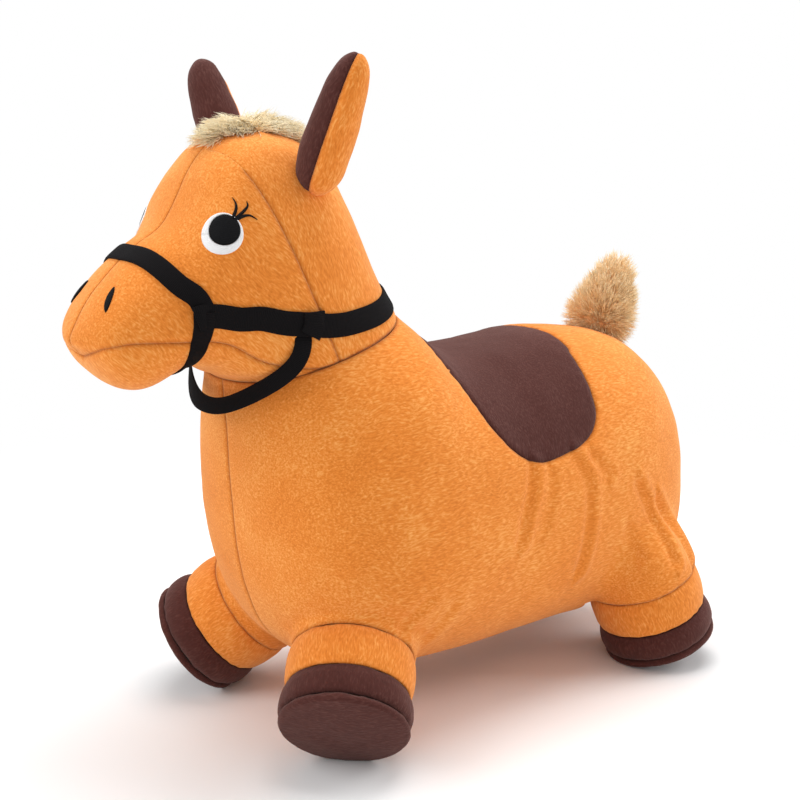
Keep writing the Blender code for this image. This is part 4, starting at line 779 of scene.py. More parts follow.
BACK_AND_DOWN = ((1, 0, 0), (0, 0.707, -0.707), (0, 0.707, 0.707))
UP_THE_NECK = ((1, 0, 0), (0, neck_up[0], neck_up[1]), (0, neck_up[1], -neck_up[0]))
head_cloth = BVHTree.FromBMesh(bm)
for name, chosen, cad_node in (("neck_plush_left", ~in_face & on_left, "neck_cover_left"),
                               ("neck_plush_right", ~in_face & ~on_left, "neck_cover_right"),
                               ("face_plush_left", in_face & ~in_chin & on_left, "head_cover_left"),
                               ("face_plush_right", in_face & ~in_chin & ~on_left, "head_cover_right"),
                               ("chin_plush", in_chin, "chin_panel")):
    piece = piece_from(bm, chosen, name)
    lay_cloth(piece, UP_THE_NECK if name.startswith("neck") else BACK_AND_DOWN)
    piece.data.materials.append(orange_look)
    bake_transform(piece)
    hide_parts(cad_node)
bm.free()


def clouded(name, roughness, scale, detail, dark, light, strength, distance, rough=None, **constants):
    """A moulded or cast finish: a faint cloud in its colour and surface, and in its roughness if asked."""
    made, tree, shader = new_material(name, roughness, **constants)
    place = node(tree, "ShaderNodeTexCoord", output=3)
    cloud = node(tree, "ShaderNodeTexNoise", {}, {"Vector": place, "Scale": scale, "Detail": detail})
    tree.links.new(mix(tree, cloud, dark, light).socket, shader.inputs["Base Color"])
    if rough:
        tree.links.new((cloud * rough[0] + rough[1]).socket, shader.inputs["Roughness"])
    bump = node(tree, "ShaderNodeBump", {}, {"Height": cloud, "Strength": strength, "Distance": distance})
    tree.links.new(bump.socket, shader.inputs["Normal"])
    return made


# Air bladder: one dip-moulded rubber form inside the covers, trunk, neck and head in one, with a short
# lobe into each leg. Its skin lies just under the plush.
BLADDER_INSET = 0.0045
BLADDER_VOXEL = 0.006
BLADDER_ROUNDS = 4
bladder = trunk_lining
bladder.name = "rubber_bladder"
only(bladder, head_skin)
bpy.ops.object.join()
apply(bladder, "DISPLACE", mid_level=0.0, strength=-BLADDER_INSET)
apply(bladder, "REMESH", mode="VOXEL", voxel_size=BLADDER_VOXEL, use_smooth_shade=True)
apply(bladder, "SMOOTH", factor=0.5, iterations=BLADDER_ROUNDS)
bladder_look = clouded("orange_rubber", 0.45, 22.0, 4.0, (0.50, 0.16, 0.03), (0.68, 0.26, 0.06), 0.3, 0.001,
                       Specular_IOR_Level=0.4)
bladder.data.materials.append(bladder_look)
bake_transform(bladder)
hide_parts("air_bladder")


# Leg bands: a short tube of orange plush round each leg, sewn to the body cover above and to the hoof
# below, drawn in along both seams
HOOF_HEIGHT = 0.028
SOLE_SEAM = 0.0055
GROUND_GAP = 0.0005
LEG_AROUND = 112
LEG_BEND = 0.032
LEG_GATHER = 0.0007
LEG_STITCH_SHADE = 0.0013
BAND_OUTLINE = [(0.0420, 0.0570), (0.0449, 0.0598), (0.0463, 0.0572), (0.0474, 0.0520), (0.0478, 0.0440),
                (0.0472, 0.0360), (0.0462, 0.0308), (0.0449, 0.0284), (0.0420, 0.0300)]


def leg_piece(key, outline, seams, name, seed, axes):
    """Spins one piece of a leg, gathers it beside its seams and lays its cloth."""
    place = legs[key]
    thing = turned([tuple(point) for point in smooth_line(outline, 5)], place, LEG_AROUND, name + "_" + key)
    bm = bmesh.new()
    bm.from_mesh(thing.data)
    bm.normal_update()
    places = points_of(bm)
    height, radius = leg_coordinates(places, place)
    gap = np.min(np.abs(height[:, None] - np.array(seams)), 1)
    gather = np.exp(-gap / 0.006) * relief(places, 0.0055, seed) + 0.9 * relief(places, 0.021, seed + 1)
    gather *= np.where((radius > 0.0445) | (height < SOLE_SEAM), LEG_GATHER, 0.0)
    mark_seams(bm, gap, LEG_STITCH_SHADE)
    for vert, amount in zip(bm.verts, gather):
        vert.co += vert.normal * amount
        vert.co.z = max(vert.co.z, GROUND_GAP)
    smooth_faces(bm)
    bm.to_mesh(thing.data)
    bm.free()
    lay_cloth(thing, np.array(axes) @ np.array(place.inverted().to_3x3()))
    return thing


ALONG_LEG = ((1, 0, 0), (0, 0, 1), (0, 1, 0))
ACROSS_SOLE = ((1, 0, 0), (0, 1, 0), (0, 0, 1))
for number, (key, place) in enumerate(legs.items()):
    band = leg_piece(key, BAND_OUTLINE, (LEG_SEAM, HOOF_HEIGHT), "leg_band_plush", 11 + 3 * number, ALONG_LEG)
    band.data.materials.append(orange_look)
    hip = joint_place["leg_" + key + "_flex"]
    knee = hip - place.to_3x3() @ Vector((0, 0, LEG_BEND))
    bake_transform(band)
    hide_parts("leg_band_" + key)


# Hooves: a band of dark brown plush sewn under each leg band and closed by a round padded sole of the same
# plush, on which the animal stands
HOOF_OUTLINE = [(0.0420, 0.0262), (0.0449, 0.0277), (0.0463, 0.0250), (0.0481, 0.0200), (0.0487, 0.0140),
                (0.0480, 0.0095), (0.0465, 0.0068), (0.0449, 0.0057), (0.0420, 0.0070)]
SOLE_OUTLINE = [(0.0420, 0.0042), (0.0448, 0.0053), (0.0463, 0.0044), (0.0475, 0.0018), (0.0462, -0.0006),
                (0.0427, -0.0016), (0.0261, -0.0038), (0.0110, -0.0044), (0.0, -0.0045)]
for number, key in enumerate(legs):
    hoof = leg_piece(key, HOOF_OUTLINE, (HOOF_HEIGHT, SOLE_SEAM), "hoof_plush", 31 + 3 * number, ALONG_LEG)
    sole = leg_piece(key, SOLE_OUTLINE, (SOLE_SEAM,), "sole_plush", 51 + 3 * number, ACROSS_SOLE)
    for piece, cad_node in ((hoof, "hoof_band_"), (sole, "hoof_sole_")):
        piece.data.materials.append(brown_look)
        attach(piece, "leg_" + key)
        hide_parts(cad_node + key)


# Ears: each a back of orange plush and a lining of brown plush, sewn together round the edge, filled, and
# set into the head. The left one is made, and the right one mirrors it.
EAR_LENGTH = 0.099
EAR_HALF_WIDTH = 0.0185
EAR_HALF_DEPTH = 0.0175
EAR_LEAN, EAR_SWEEP, EAR_TURN = 31.0, -0.5, -50.0
EAR_AROUND = 72
EAR_SHARES = [(-0.07, 0.40), (-0.02, 0.66), (0.06, 0.90), (0.2, 1.0), (0.4, 0.97), (0.6, 0.90),
              (0.78, 0.77), (0.92, 0.54)]
EAR_SEAM_DEPTH, EAR_SEAM_WIDTH, EAR_STITCH_SHADE = 0.0012, 0.0022, 0.0011


def plume(shares, length, half_width, half_depth, around, place, name):
    """A filled form that swells and tapers along its own axis to a rounded tip."""
    rows = [(share, height) for height, share in shares] + [(0.0, 1.0), (-shares[-1][1], shares[-1][0])]
    outline = smooth_line(rows, 7)[:-7]
    outline[-1] = (0.0, 1.0)
    spun = [(max(share, 0) * half_width, height * length) for share, height in outline]
    thing = turned(spun, Matrix.Identity(4), around, name)
    thing.data.transform(place @ Matrix.Diagonal((1, half_depth / half_width, 1, 1)))
    return thing


def mirrored(thing, name):
    """A copy across the middle plane, with its faces turned back outwards."""
    made = thing.copy()
    made.data = thing.data.copy()
    made.name = name
    bpy.context.collection.objects.link(made)
    made.data.transform(MIRROR)
    made.data.flip_normals()
    return made


ear_place = Matrix.Translation(joint_place["ear_left_flop"])
ear_place @= (Matrix.Rotation(math.radians(EAR_LEAN), 4, "Y")
              @ Matrix.Rotation(math.radians(EAR_SWEEP), 4, "X"))
ear_place @= Matrix.Rotation(math.radians(EAR_TURN), 4, "Z")
ear_inside = np.array(ear_place.inverted())
ear_form = plume(EAR_SHARES, EAR_LENGTH, EAR_HALF_WIDTH, EAR_HALF_DEPTH, EAR_AROUND, ear_place, "ear_form")


def behind_ear_edge(points):
    """Distance behind the seam that parts the ear's lining from its back."""
    return points @ ear_inside[1, :3] + ear_inside[1, 3]


bm = bmesh.new()
bm.from_mesh(ear_form.data)
bpy.data.objects.remove(ear_form)
run_seam(bm, behind_ear_edge)
bmesh.ops.remove_doubles(bm, verts=bm.verts, dist=0.0002)
places, normals = points_of(bm), normals_of(bm)
gap = np.abs(behind_ear_edge(places))
push = seam_push(gap, EAR_SEAM_DEPTH, EAR_SEAM_WIDTH) - 0.0007 * relief(places, 0.016, 71)
push -= 0.0004 * np.exp(-gap / 0.005) * relief(places, 0.006, 72)
draw_in(bm, push, normals)
mark_seams(bm, gap, EAR_STITCH_SHADE)
centres = centres_of(bm)
at_back = behind_ear_edge(centres) > 0
ear_back = piece_from(bm, at_back, "ear_back_plush_left")
ear_lining = piece_from(bm, ~at_back, "ear_lining_plush_left")
bm.free()
for piece, look, kind, slot in ((ear_back, orange_look, "back", "orange_plush"),
                                (ear_lining, brown_look, "lining", "brown_plush")):
    lay_cloth(piece, np.array(ALONG_LEG) @ ear_inside[:3, :3])
    piece.data.materials.append(look)
    other = mirrored(piece, "ear_" + kind + "_plush_right")
    for half, flank in ((piece, "left"), (other, "right")):
        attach(half, "ear_" + flank)
        hidden = ["ear_stuffing_" + flank] if kind == "back" else []
        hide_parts("ear_" + kind + "_" + flank, *hidden)


# Tail: a tube of tan long-pile fur round a filled core, sewn into the rump seam. Its pile stands out at the
# root and points up towards the tip, and every strand is a fine tapered hair of its own.
TAIL_LENGTH = 0.073
TAIL_CORE_LENGTH = 0.88 * TAIL_LENGTH
TAIL_LEAN = 25.0
TAIL_RADIUS = 0.0245
TAIL_CORE_SHARES = [(-0.045, 0.52), (0.03, 0.62), (0.12, 0.78), (0.30, 0.80), (0.52, 0.66),
                    (0.72, 0.50), (0.88, 0.32)]
TAIL_STRANDS = 5600
TAIL_PILE = 0.0135
STRAND_WIDTH = 0.00075
STRAND_STEPS = 5


def unit(rows):
    return rows / np.linalg.norm(rows, axis=1)[:, None]


def scattered(thing, count, seed):
    """Even random points over a mesh, with the way out of it at each."""
    mesh = thing.data
    mesh.calc_loop_triangles()
    places = np.array([vert.co for vert in mesh.vertices])
    corners = places[np.array([tri.vertices for tri in mesh.loop_triangles])]
    faced = np.cross(corners[:, 1] - corners[:, 0], corners[:, 2] - corners[:, 0])
    area = np.linalg.norm(faced, axis=1)
    pick = np.random.default_rng(seed)
    chosen = pick.choice(len(area), count, p=area / area.sum())
    first, second = np.sqrt(pick.random(count))[:, None], pick.random(count)[:, None]
    a, b, c = corners[chosen, 0], corners[chosen, 1], corners[chosen, 2]
    return a * (1 - first) + b * first * (1 - second) + c * first * second, unit(faced[chosen])


def strands(name, roots, outward, lie, length, width, seed, wander=0.35, lift=0.30):
    """Fine tapered strands, three faces round, each bent over from its root to lie along the pile."""
    pick = np.random.default_rng(seed)
    count = len(roots)
    tufts = np.array([noise.noise_vector(Vector(root) / 0.0065 + Vector((seed, 0, 0))) for root in roots])
    sway = pick.normal(0, 0.16, (count, 3)) + wander * tufts * 2.2
    start = unit(outward + 0.35 * lie + 0.4 * sway)
    finish = unit(lie + lift * outward + sway)
    reach = (length * pick.uniform(0.70, 1.12, count))[:, None] * 1.15
    side = unit(np.cross(finish, outward) + 0.001)
    phase = pick.uniform(0, 2 * math.pi, count)
    half = width / 2 * pick.uniform(0.75, 1.25, count)
    rings = []
    for k in range(STRAND_STEPS + 1):
        t = k / STRAND_STEPS
        middle = roots - 0.001 * outward + (start * (t - t * t / 2) + finish * (t * t / 2)) * reach
        middle += side * (np.sin(phase + 5.0 * t) * 0.0009 * t)[:, None]
        if k == STRAND_STEPS:
            rings.append(middle[:, None])
            continue
        heading = unit(start * (1 - t) + finish * t)
        up = unit(np.cross(heading, side))
        breadth = (half * (1 - 0.75 * t))[:, None]
        corners = [middle + breadth * (math.cos(turn) * side + math.sin(turn) * up)
                   for turn in (0, 2 * math.pi / 3, 4 * math.pi / 3)]
        rings.append(np.stack(corners, 1))
    points = np.concatenate(rings, 1)
    per_strand = points.shape[1]
    pattern = [(0, 2, 1)]
    for k in range(STRAND_STEPS - 1):
        for j in range(3):
            nxt = (j + 1) % 3
            pattern.append((3 * k + j, 3 * k + nxt, 3 * k + 3 + nxt, 3 * k + 3 + j))
    last = 3 * (STRAND_STEPS - 1)
    pattern += [(last + j, last + (j + 1) % 3, last + 3) for j in range(3)]
    faces = [[number * per_strand + corner for corner in face] for number in range(count) for face in pattern]
    mesh = bpy.data.meshes.new(name)
    mesh.from_pydata(points.reshape(-1, 3).tolist(), [], faces)
    # Each strand's tone: a random tone of its own, plus painted shade that darkens it towards its root
    tone = mesh.attributes.new("tone", "FLOAT", "POINT")
    shade = pick.normal(0.5, 0.18, count)[:, None] + tufts[:, :1] * 0.25
    along = np.array([min(k // 3, STRAND_STEPS) / STRAND_STEPS for k in range(per_strand)])
    tone.data.foreach_set("value", (shade * 0.7 + 0.45 * along[None, :]).ravel())
    mesh.shade_smooth()
    made = bpy.data.objects.new(name, mesh)
    bpy.context.collection.objects.link(made)
    return made


def fur(name, dark, colour, light):
    """Long pile: every strand has a tone of its own, with painted shade that darkens it towards its root."""
    made, tree, shader = new_material(name, 0.75, Sheen_Weight=1.0, Sheen_Roughness=0.4,
                                      Sheen_Tint=(*colour, 1.0), Specular_IOR_Level=0.2)
    tone = node(tree, "ShaderNodeAttribute", {"attribute_name": "tone"}, {}, 2)
    place = node(tree, "ShaderNodeTexCoord", output=3)
    patch = node(tree, "ShaderNodeTexNoise", {}, {"Vector": place, "Scale": 120.0, "Detail": 1.0})
    level = tone * 0.85 + (patch - 0.5) * 0.5 + 0.1
    shade = node(tree, "ShaderNodeValToRGB", {"stops": [(0.1, dark), (0.5, colour), (0.95, light)]},
                 {0: level})
    tree.links.new(shade.socket, shader.inputs["Base Color"])
    return made


def furred(core, strand_mesh, name):
    """Joins a pad of fur's ground cloth and its strands into one piece."""
    mesh = core.data
    # The ground cloth gets a low tone: painted shade that darkens it under the strands
    tone = mesh.attributes.new("tone", "FLOAT", "POINT")
    tone.data.foreach_set("value", np.full(len(mesh.vertices), 0.12))
    mesh.shade_smooth()
    only(core, strand_mesh)
    bpy.ops.object.join()
    core.name = name
    return core


tail_root = joint_place["tail_wag"]
tail_place = Matrix.Translation(tail_root) @ Matrix.Rotation(math.radians(-TAIL_LEAN), 4, "X")
tail_core = plume(TAIL_CORE_SHARES, TAIL_CORE_LENGTH, TAIL_RADIUS, TAIL_RADIUS, 36, tail_place, "tail_core")
roots, outward = scattered(tail_core, TAIL_STRANDS, 5)
tail_up = np.array(tail_place.to_3x3() @ Vector((0, 0, 1)))
height = (roots - np.array(tail_root)) @ tail_up
kept = height > 0.001
roots, outward, height = roots[kept], outward[kept], height[kept]
spread = np.clip(1.15 - height / 0.040, 0.10, 1.0)[:, None]
lie = unit(tail_up[None, :] * (1.15 - spread) + outward * spread)
tail_strands = strands("tail_strands", roots, outward, lie, TAIL_PILE, STRAND_WIDTH, 6)
tail_fur = furred(tail_core, tail_strands, "tail_fur_pile")
TAN = (1.0, 0.70, 0.37)
TAN_LIGHT = (1.0, 0.86, 0.60)
TAN_DARK = (1.0, 0.58, 0.27)
tail_fur.data.materials.clear()
tail_fur.data.materials.append(fur("tan_fur", TAN_DARK, TAN, TAN_LIGHT))
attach(tail_fur, "tail")
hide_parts("tail_fur", "tail_stuffing")


# Forelock: a strip of the same fur in a paler shade, sewn over the crown between the ears. Its pile parts
# at the top and falls towards the face and the nape.
FORELOCK_STATIONS = (5.0, 8.2)
FORELOCK_STEPS = 26
FORELOCK_PARTING = 6.9
FORELOCK_HALF_WIDTH = 0.0155
FORELOCK_RISE = 0.0050
FORELOCK_STRANDS = 4400
FORELOCK_PILE = 0.0145


def head_point(station, angle):
    """A point of the head's plain form at a fractional station and an angle from the top."""
    index = max(0, min(int(station), len(head_stations) - 2))
    turn = np.array([math.radians(angle)])
    first, second = oval(head_stations[index], turn)[0], oval(head_stations[index + 1], turn)[0]
    return Vector(first + (second - first) * (station - index))


bm = bmesh.new()
rings = []
for k in range(FORELOCK_STEPS + 1):
    share = k / FORELOCK_STEPS
    station = FORELOCK_STATIONS[0] + (FORELOCK_STATIONS[1] - FORELOCK_STATIONS[0]) * share
    swell = math.sin(math.pi * min(max(share, 0.03), 0.97)) ** 0.5
    centre = head_point(station, 0)
    ring = []
    for j in range(17):
        across = (j / 8 - 1) * FORELOCK_HALF_WIDTH * swell
        near, normal = head_cloth.find_nearest(centre + Vector((across, 0, -abs(across) * 0.3)))[:2]
        ring.append(bm.verts.new(near + normal * (FORELOCK_RISE * swell * (1 - (j / 8 - 1) ** 4) - 0.0015)))
    rings.append(ring)
for low, high in zip(rings, rings[1:]):
    for j in range(16):
        bm.faces.new((low[j], low[j + 1], high[j + 1], high[j]))
bmesh.ops.recalc_face_normals(bm, faces=bm.faces)
bm.normal_update()
if sum(face.normal[2] for face in bm.faces) < 0:
    bmesh.ops.reverse_faces(bm, faces=bm.faces)
forelock_core = as_object(bm, "forelock_core")
roots, outward = scattered(forelock_core, FORELOCK_STRANDS, 7)
parting = head_point(FORELOCK_PARTING, 0)[1]
forward = np.where(roots[:, 1] < parting, 1.0, -1.0)
lie = unit(np.stack([roots[:, 0] / FORELOCK_HALF_WIDTH * 0.75, -forward, -0.25 - 0.35 * (forward > 0)], 1))
forelock_strands = strands("forelock_strands", roots, outward, lie, FORELOCK_PILE, STRAND_WIDTH, 8,
                           wander=0.30, lift=0.28)
forelock = furred(forelock_core, forelock_strands, "forelock_pile")
CREAM = (1.0, 0.84, 0.55)
CREAM_LIGHT = (1.0, 0.93, 0.73)
CREAM_DARK = (1.0, 0.70, 0.40)
forelock.data.materials.clear()
forelock.data.materials.append(fur("cream_fur", CREAM_DARK, CREAM, CREAM_LIGHT))
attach(forelock, "head")
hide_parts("forelock")


# Eyes: embroidered in satin stitch, a white ring round a black pupil, with three curved lashes that
# spring from the pupil's upper edge. Each is laid out in a plane over the cheek; lashes are in millimetres.
EYE_STATION, EYE_ANGLE = 9.09, 68.5
EYE_WHITE_RADIUS = 0.0139
PUPIL_RADIUS = 0.0102
PUPIL_SHIFT = (0.0017, 0.0024)
STITCH_RISE = 0.0010
LASHES = [[(6.9, 10.0), (8.7, 16.2), (8.3, 20.6), (5.8, 24.6)],
          [(8.6, 9.6), (13.5, 15.6), (15.8, 19.6), (15.0, 22.6)],
          [(8.6, 9.0), (13.8, 12.4), (17.8, 13.2), (22.0, 11.2)]]
LASH_RADIUS = 0.00125


class Patch:
    """A flat working plane laid over the head at one place, from which stitches drop on to the cloth."""

    def __init__(self, station, angle):
        along = head_point(station + 0.3, angle) - head_point(station - 0.3, angle)
        round_it = head_point(station, angle + 4) - head_point(station, angle - 4)
        self.centre = head_point(station, angle)
        self.normal = round_it.cross(along).normalized()
        middle = head_point(station, 0).lerp(head_point(station, 180), 0.5)
        if self.normal.dot(self.centre - middle) < 0:
            self.normal.negate()
        self.across = Vector((0, 0, 1)).cross(self.normal).normalized()
        self.up = self.normal.cross(self.across).normalized()

    def on_cloth(self, x, y, rise):
        start = self.centre + self.across * x + self.up * y + self.normal * 0.02
        hit, normal = head_cloth.ray_cast(start, -self.normal)[:2]
        return hit + normal * rise


def stitched(patch, rings, rises, threads, name, closed_middle=False):
    """A patch of satin stitch: rings of points in the working plane, each with its height over the cloth."""
    bm = bmesh.new()
    layer = bm.verts.layers.float_vector.new("thread")
    rows = []
    for ring, rise in zip(rings, rises):
        row = []
        for x, y in ring:
            vert = bm.verts.new(patch.on_cloth(x, y, rise))
            vert[layer] = threads(x, y)
            row.append(vert)
        rows.append(row)
    for first, second in zip(rows, rows[1:]):
        for k in range(len(first)):
            nxt = (k + 1) % len(first)
            bm.faces.new((first[k], first[nxt], second[nxt], second[k]))
    if closed_middle:
        bm.faces.new(rows[-1])
    bmesh.ops.recalc_face_normals(bm, faces=bm.faces)
    if sum(face.normal.dot(patch.normal) * face.calc_area() for face in bm.faces) < 0:
        bmesh.ops.reverse_faces(bm, faces=bm.faces)
    smooth_faces(bm)
    return as_object(bm, name)


def circle(radius, shift=(0.0, 0.0), count=72):
    return [(shift[0] + radius * math.cos(2 * math.pi * k / count),
             shift[1] + radius * math.sin(2 * math.pi * k / count)) for k in range(count)]


def between(inner, outer, share):
    return [(a + (c - a) * share, b + (d - b) * share) for (a, b), (c, d) in zip(inner, outer)]


THREAD_PITCH = 0.00055
STITCH_LENGTH = 0.0030


def thread_look(name, colour, light, roughness, gloss):
    """Embroidery floss: fine parallel threads, each with a painted highlight along its crown and painted
    shade at its tucks.
    """
    made, tree, shader = new_material(name, roughness, Specular_IOR_Level=gloss)
    thread = node(tree, "ShaderNodeAttribute", {"attribute_name": "thread"}, {}, 1)
    parts = tree.nodes.new("ShaderNodeSeparateXYZ")
    tree.links.new(thread.socket, parts.inputs[0])
    row, run = Value(tree, parts.outputs["X"]), Value(tree, parts.outputs["Y"])
    uneven = node(tree, "ShaderNodeTexNoise", {}, {"Vector": thread, "Scale": 700.0, "Detail": 1.0})
    crown = (row * (2 * math.pi / THREAD_PITCH) + uneven * 2.0).sine() * 0.5 + 0.5
    tuck = (run * (2 * math.pi / STITCH_LENGTH) + row * 900.0).sine().power(8.0)
    # Painted highlight lighter along each thread's crown, and painted shade where the stitches tuck into the
    # cloth
    tree.links.new(mix(tree, crown * (1.0 - tuck * 0.5), colour, light).socket, shader.inputs["Base Color"])
    bump = node(tree, "ShaderNodeBump", {},
                {"Height": crown - tuck * 0.6, "Strength": 0.7, "Distance": 0.00025})
    tree.links.new(bump.socket, shader.inputs["Normal"])
    return made


white_thread = thread_look("white_floss", (0.86, 0.86, 0.87), (1.0, 0.99, 0.99), 0.6, 0.3)
black_thread = thread_look("black_floss", (0.002, 0.002, 0.0022), (0.011, 0.011, 0.013), 0.7, 0.08)
eye = Patch(EYE_STATION, EYE_ANGLE)
inner = circle(PUPIL_RADIUS + 0.0001, PUPIL_SHIFT)
outer = circle(EYE_WHITE_RADIUS)
shares = (1.0, 1.0, 0.93, 0.80, 0.5, 0.2, 0.06, 0.0, 0.0)
rises = [STITCH_RISE * rise for rise in (-0.6, 0.45, 0.85, 1.0, 1.0, 1.0, 0.8, 0.4, -0.6)]
eye_white = stitched(eye, [between(inner, outer, share) for share in shares], rises,
                     lambda x, y: (math.atan2(y, x) * 0.012, math.hypot(x, y), 0.0), "eye_white_stitch_left")
disc = circle(1.0)
shares = (1.0, 1.0, 0.95, 0.84, 0.6, 0.3, 0.08)
rises = [STITCH_RISE * rise for rise in (-0.6, 0.7, 1.15, 1.35, 1.45, 1.5, 1.5)]
rings = [[(PUPIL_SHIFT[0] + x * PUPIL_RADIUS * share, PUPIL_SHIFT[1] + y * PUPIL_RADIUS * share)
          for x, y in disc] for share in shares]
pupil = stitched(eye, rings, rises, lambda x, y: (x * 0.8 + y * 0.6, y * 0.8 - x * 0.6, 0.0),
                 "pupil_stitch_left", True)


def satin_bar(patch, line, radius, rise, name):
    """A tapered bar of satin stitch along a line in the working plane."""
    rows = smooth_line([(x / 1000, y / 1000) for x, y in line], 6)
    runs = np.gradient(rows, axis=0)
    runs /= np.hypot(runs[:, 0], runs[:, 1])[:, None]
    bm = bmesh.new()
    layer = bm.verts.layers.float_vector.new("thread")
    made = []
    for k, ((x, y), (dx, dy)) in enumerate(zip(rows, runs)):
        share = k / (len(rows) - 1)
        half = radius * (1 - 0.85 * share ** 1.5)
        ring = []
        for j in range(9):
            turn = math.pi * j / 8
            off, height = math.cos(turn) * half, math.sin(turn) ** 0.7 * rise * (1 - 0.5 * share)
            vert = bm.verts.new(patch.on_cloth(x - dy * off, y + dx * off, height - 0.0003))
            vert[layer] = (k * 0.0006 + off * 0.2, off, 0.0)
            ring.append(vert)
        made.append(ring)
    for first, second in zip(made, made[1:]):
        for j in range(8):
            bm.faces.new((first[j], first[j + 1], second[j + 1], second[j]))
        bm.faces.new((first[8], first[0], second[0], second[8]))
    bm.faces.new(made[0])
    bm.faces.new(made[-1])
    bmesh.ops.recalc_face_normals(bm, faces=bm.faces)
    smooth_faces(bm)
    return as_object(bm, name)


lashes = [satin_bar(eye, line, LASH_RADIUS, STITCH_RISE * 1.7, "lash") for line in LASHES]
only(*lashes)
bpy.ops.object.join()
lashes[0].name = "lashes_stitch_left"
for piece, look, cad_node, slot in ((eye_white, white_thread, "eye_white", "white_thread"),
                                    (pupil, black_thread, "pupil", "black_thread"),
                                    (lashes[0], black_thread, "lashes", "black_thread")):
    piece.data.materials.append(look)
    other = mirrored(piece, cad_node + "_stitch_right")
    for half, flank in ((piece, "_left"), (other, "_right")):
        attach(half, "head")
        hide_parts(cad_node + flank)


# Nostrils: a black slit on each side of the nose, a leaf of the same satin stitch in the same black floss.
# Its two ends are in millimetres in a plane over the nose.
NOSTRIL_STATION, NOSTRIL_ANGLE = 14.2, 30.0
NOSTRIL_TOP, NOSTRIL_FOOT = (-1.1, 8.8), (1.7, -10.3)
NOSTRIL_HALF_WIDTH = 0.0025
nose = Patch(NOSTRIL_STATION, NOSTRIL_ANGLE)
length = math.dist(NOSTRIL_TOP, NOSTRIL_FOOT) / 1000
lean = ((NOSTRIL_TOP[0] - NOSTRIL_FOOT[0]) / 1000 / length,
        (NOSTRIL_TOP[1] - NOSTRIL_FOOT[1]) / 1000 / length)
middle = ((NOSTRIL_TOP[0] + NOSTRIL_FOOT[0]) / 2000, (NOSTRIL_TOP[1] + NOSTRIL_FOOT[1]) / 2000)


def slit(share):
    """The nostril's outline, a leaf with its bulge towards the nose's tip, scaled about its middle."""
    points = []
    for x, y in circle(1.0, count=48):
        along = y * length / 2
        across = x * abs(x) ** 0.4 * NOSTRIL_HALF_WIDTH - 0.0006 * (1 - y * y)
        points.append((middle[0] + (lean[0] * along + lean[1] * across) * share,
                       middle[1] + (lean[1] * along - lean[0] * across) * share))
    return points


rises = [STITCH_RISE * rise for rise in (-0.6, 0.5, 0.9, 1.1, 1.2)]
nostril = stitched(nose, [slit(share) for share in (1.0, 1.0, 0.85, 0.5, 0.1)], rises,
                   lambda x, y: (y, x, 0.0), "nostril_stitch_left", True)
nostril.data.materials.append(black_thread)
for half, flank in ((nostril, "_left"), (mirrored(nostril, "nostril_stitch_right"), "_right")):
    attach(half, "head")
    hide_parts("nostril" + flank)


# Bridle: black ribbed webbing. The noseband and the strap under the chin are sewn down at the cheek, and
# the headstall round the neck is lapped over the ends of both. A path is (station, angle from the top).
WEB_THICKNESS = 0.0015
WEB_WIDTH = 0.0168
NOSEBAND_WIDTH = 0.0142
NOSEBAND_PATH = [(12.5, 0.0), (12.38, 20.0), (12.1, 43.3), (11.56, 67.1), (10.80, 82.0), (10.05, 94.5),
                 (9.85, 99.0)]
CHIN_PATH = [(9.95, 98.0), (9.56, 113.5), (9.21, 129.6), (8.85, 143.0), (8.5, 161.0), (8.35, 180.0)]
HEADSTALL_PATH = [(10.55, 97.0), (9.95, 100.5), (8.94, 109.5), (7.6, 116.4), (6.3, 118.5), (5.0, 114.0),
                  (3.5, 107.3), (2.36, 97.1), (1.5, 88.0), (1.1, 77.0), (0.82, 61.0), (0.70, 40.0),
                  (0.66, 20.0), (0.65, 0.0)]
WEB_ACROSS = 10
STRAP_LIFT, CHIN_STRAP_LIFT = 0.0004, 0.0016
WARP_PITCH = 0.0007


def evened(rows, rounds):
    """Points moved towards their neighbours' middle, the ends kept."""
    for _ in range(rounds):
        rows[1:-1] = rows[1:-1] * 0.5 + (rows[:-2] + rows[2:]) * 0.25
    return rows


def ribbon(tops, undersides, name):
    """A strap closed round its two faces, with each point's place across and along the weave."""
    bm = bmesh.new()
    layer = bm.verts.layers.float_vector.new("weave")
    middle = tops[:, WEB_ACROSS // 2]
    run = np.concatenate([[0], np.cumsum(np.linalg.norm(np.diff(middle, axis=0), axis=1))])
    rings = []
    for top, under, along in zip(tops, undersides, run):
        ring = []
        width = np.linalg.norm(top[-1] - top[0])
        for points, order in ((top, range(WEB_ACROSS + 1)), (under, range(WEB_ACROSS, -1, -1))):
            for j in order:
                vert = bm.verts.new(points[j])
                vert[layer] = ((j / WEB_ACROSS - 0.5) * width, along, 0.0)
                ring.append(vert)
        rings.append(ring)
    count = len(rings[0])
    for first, second in zip(rings, rings[1:]):
        for k in range(count):
            bm.faces.new((first[k], first[(k + 1) % count], second[(k + 1) % count], second[k]))
    for ring in (rings[0], rings[-1]):
        for k in range(WEB_ACROSS):
            bm.faces.new((ring[k], ring[k + 1], ring[-k - 2], ring[-k - 1]))
    bmesh.ops.recalc_face_normals(bm, faces=bm.faces)
    smooth_faces(bm)
    thing = as_object(bm, name)
    thing.data.set_sharp_from_angle(angle=math.radians(50))
    return thing


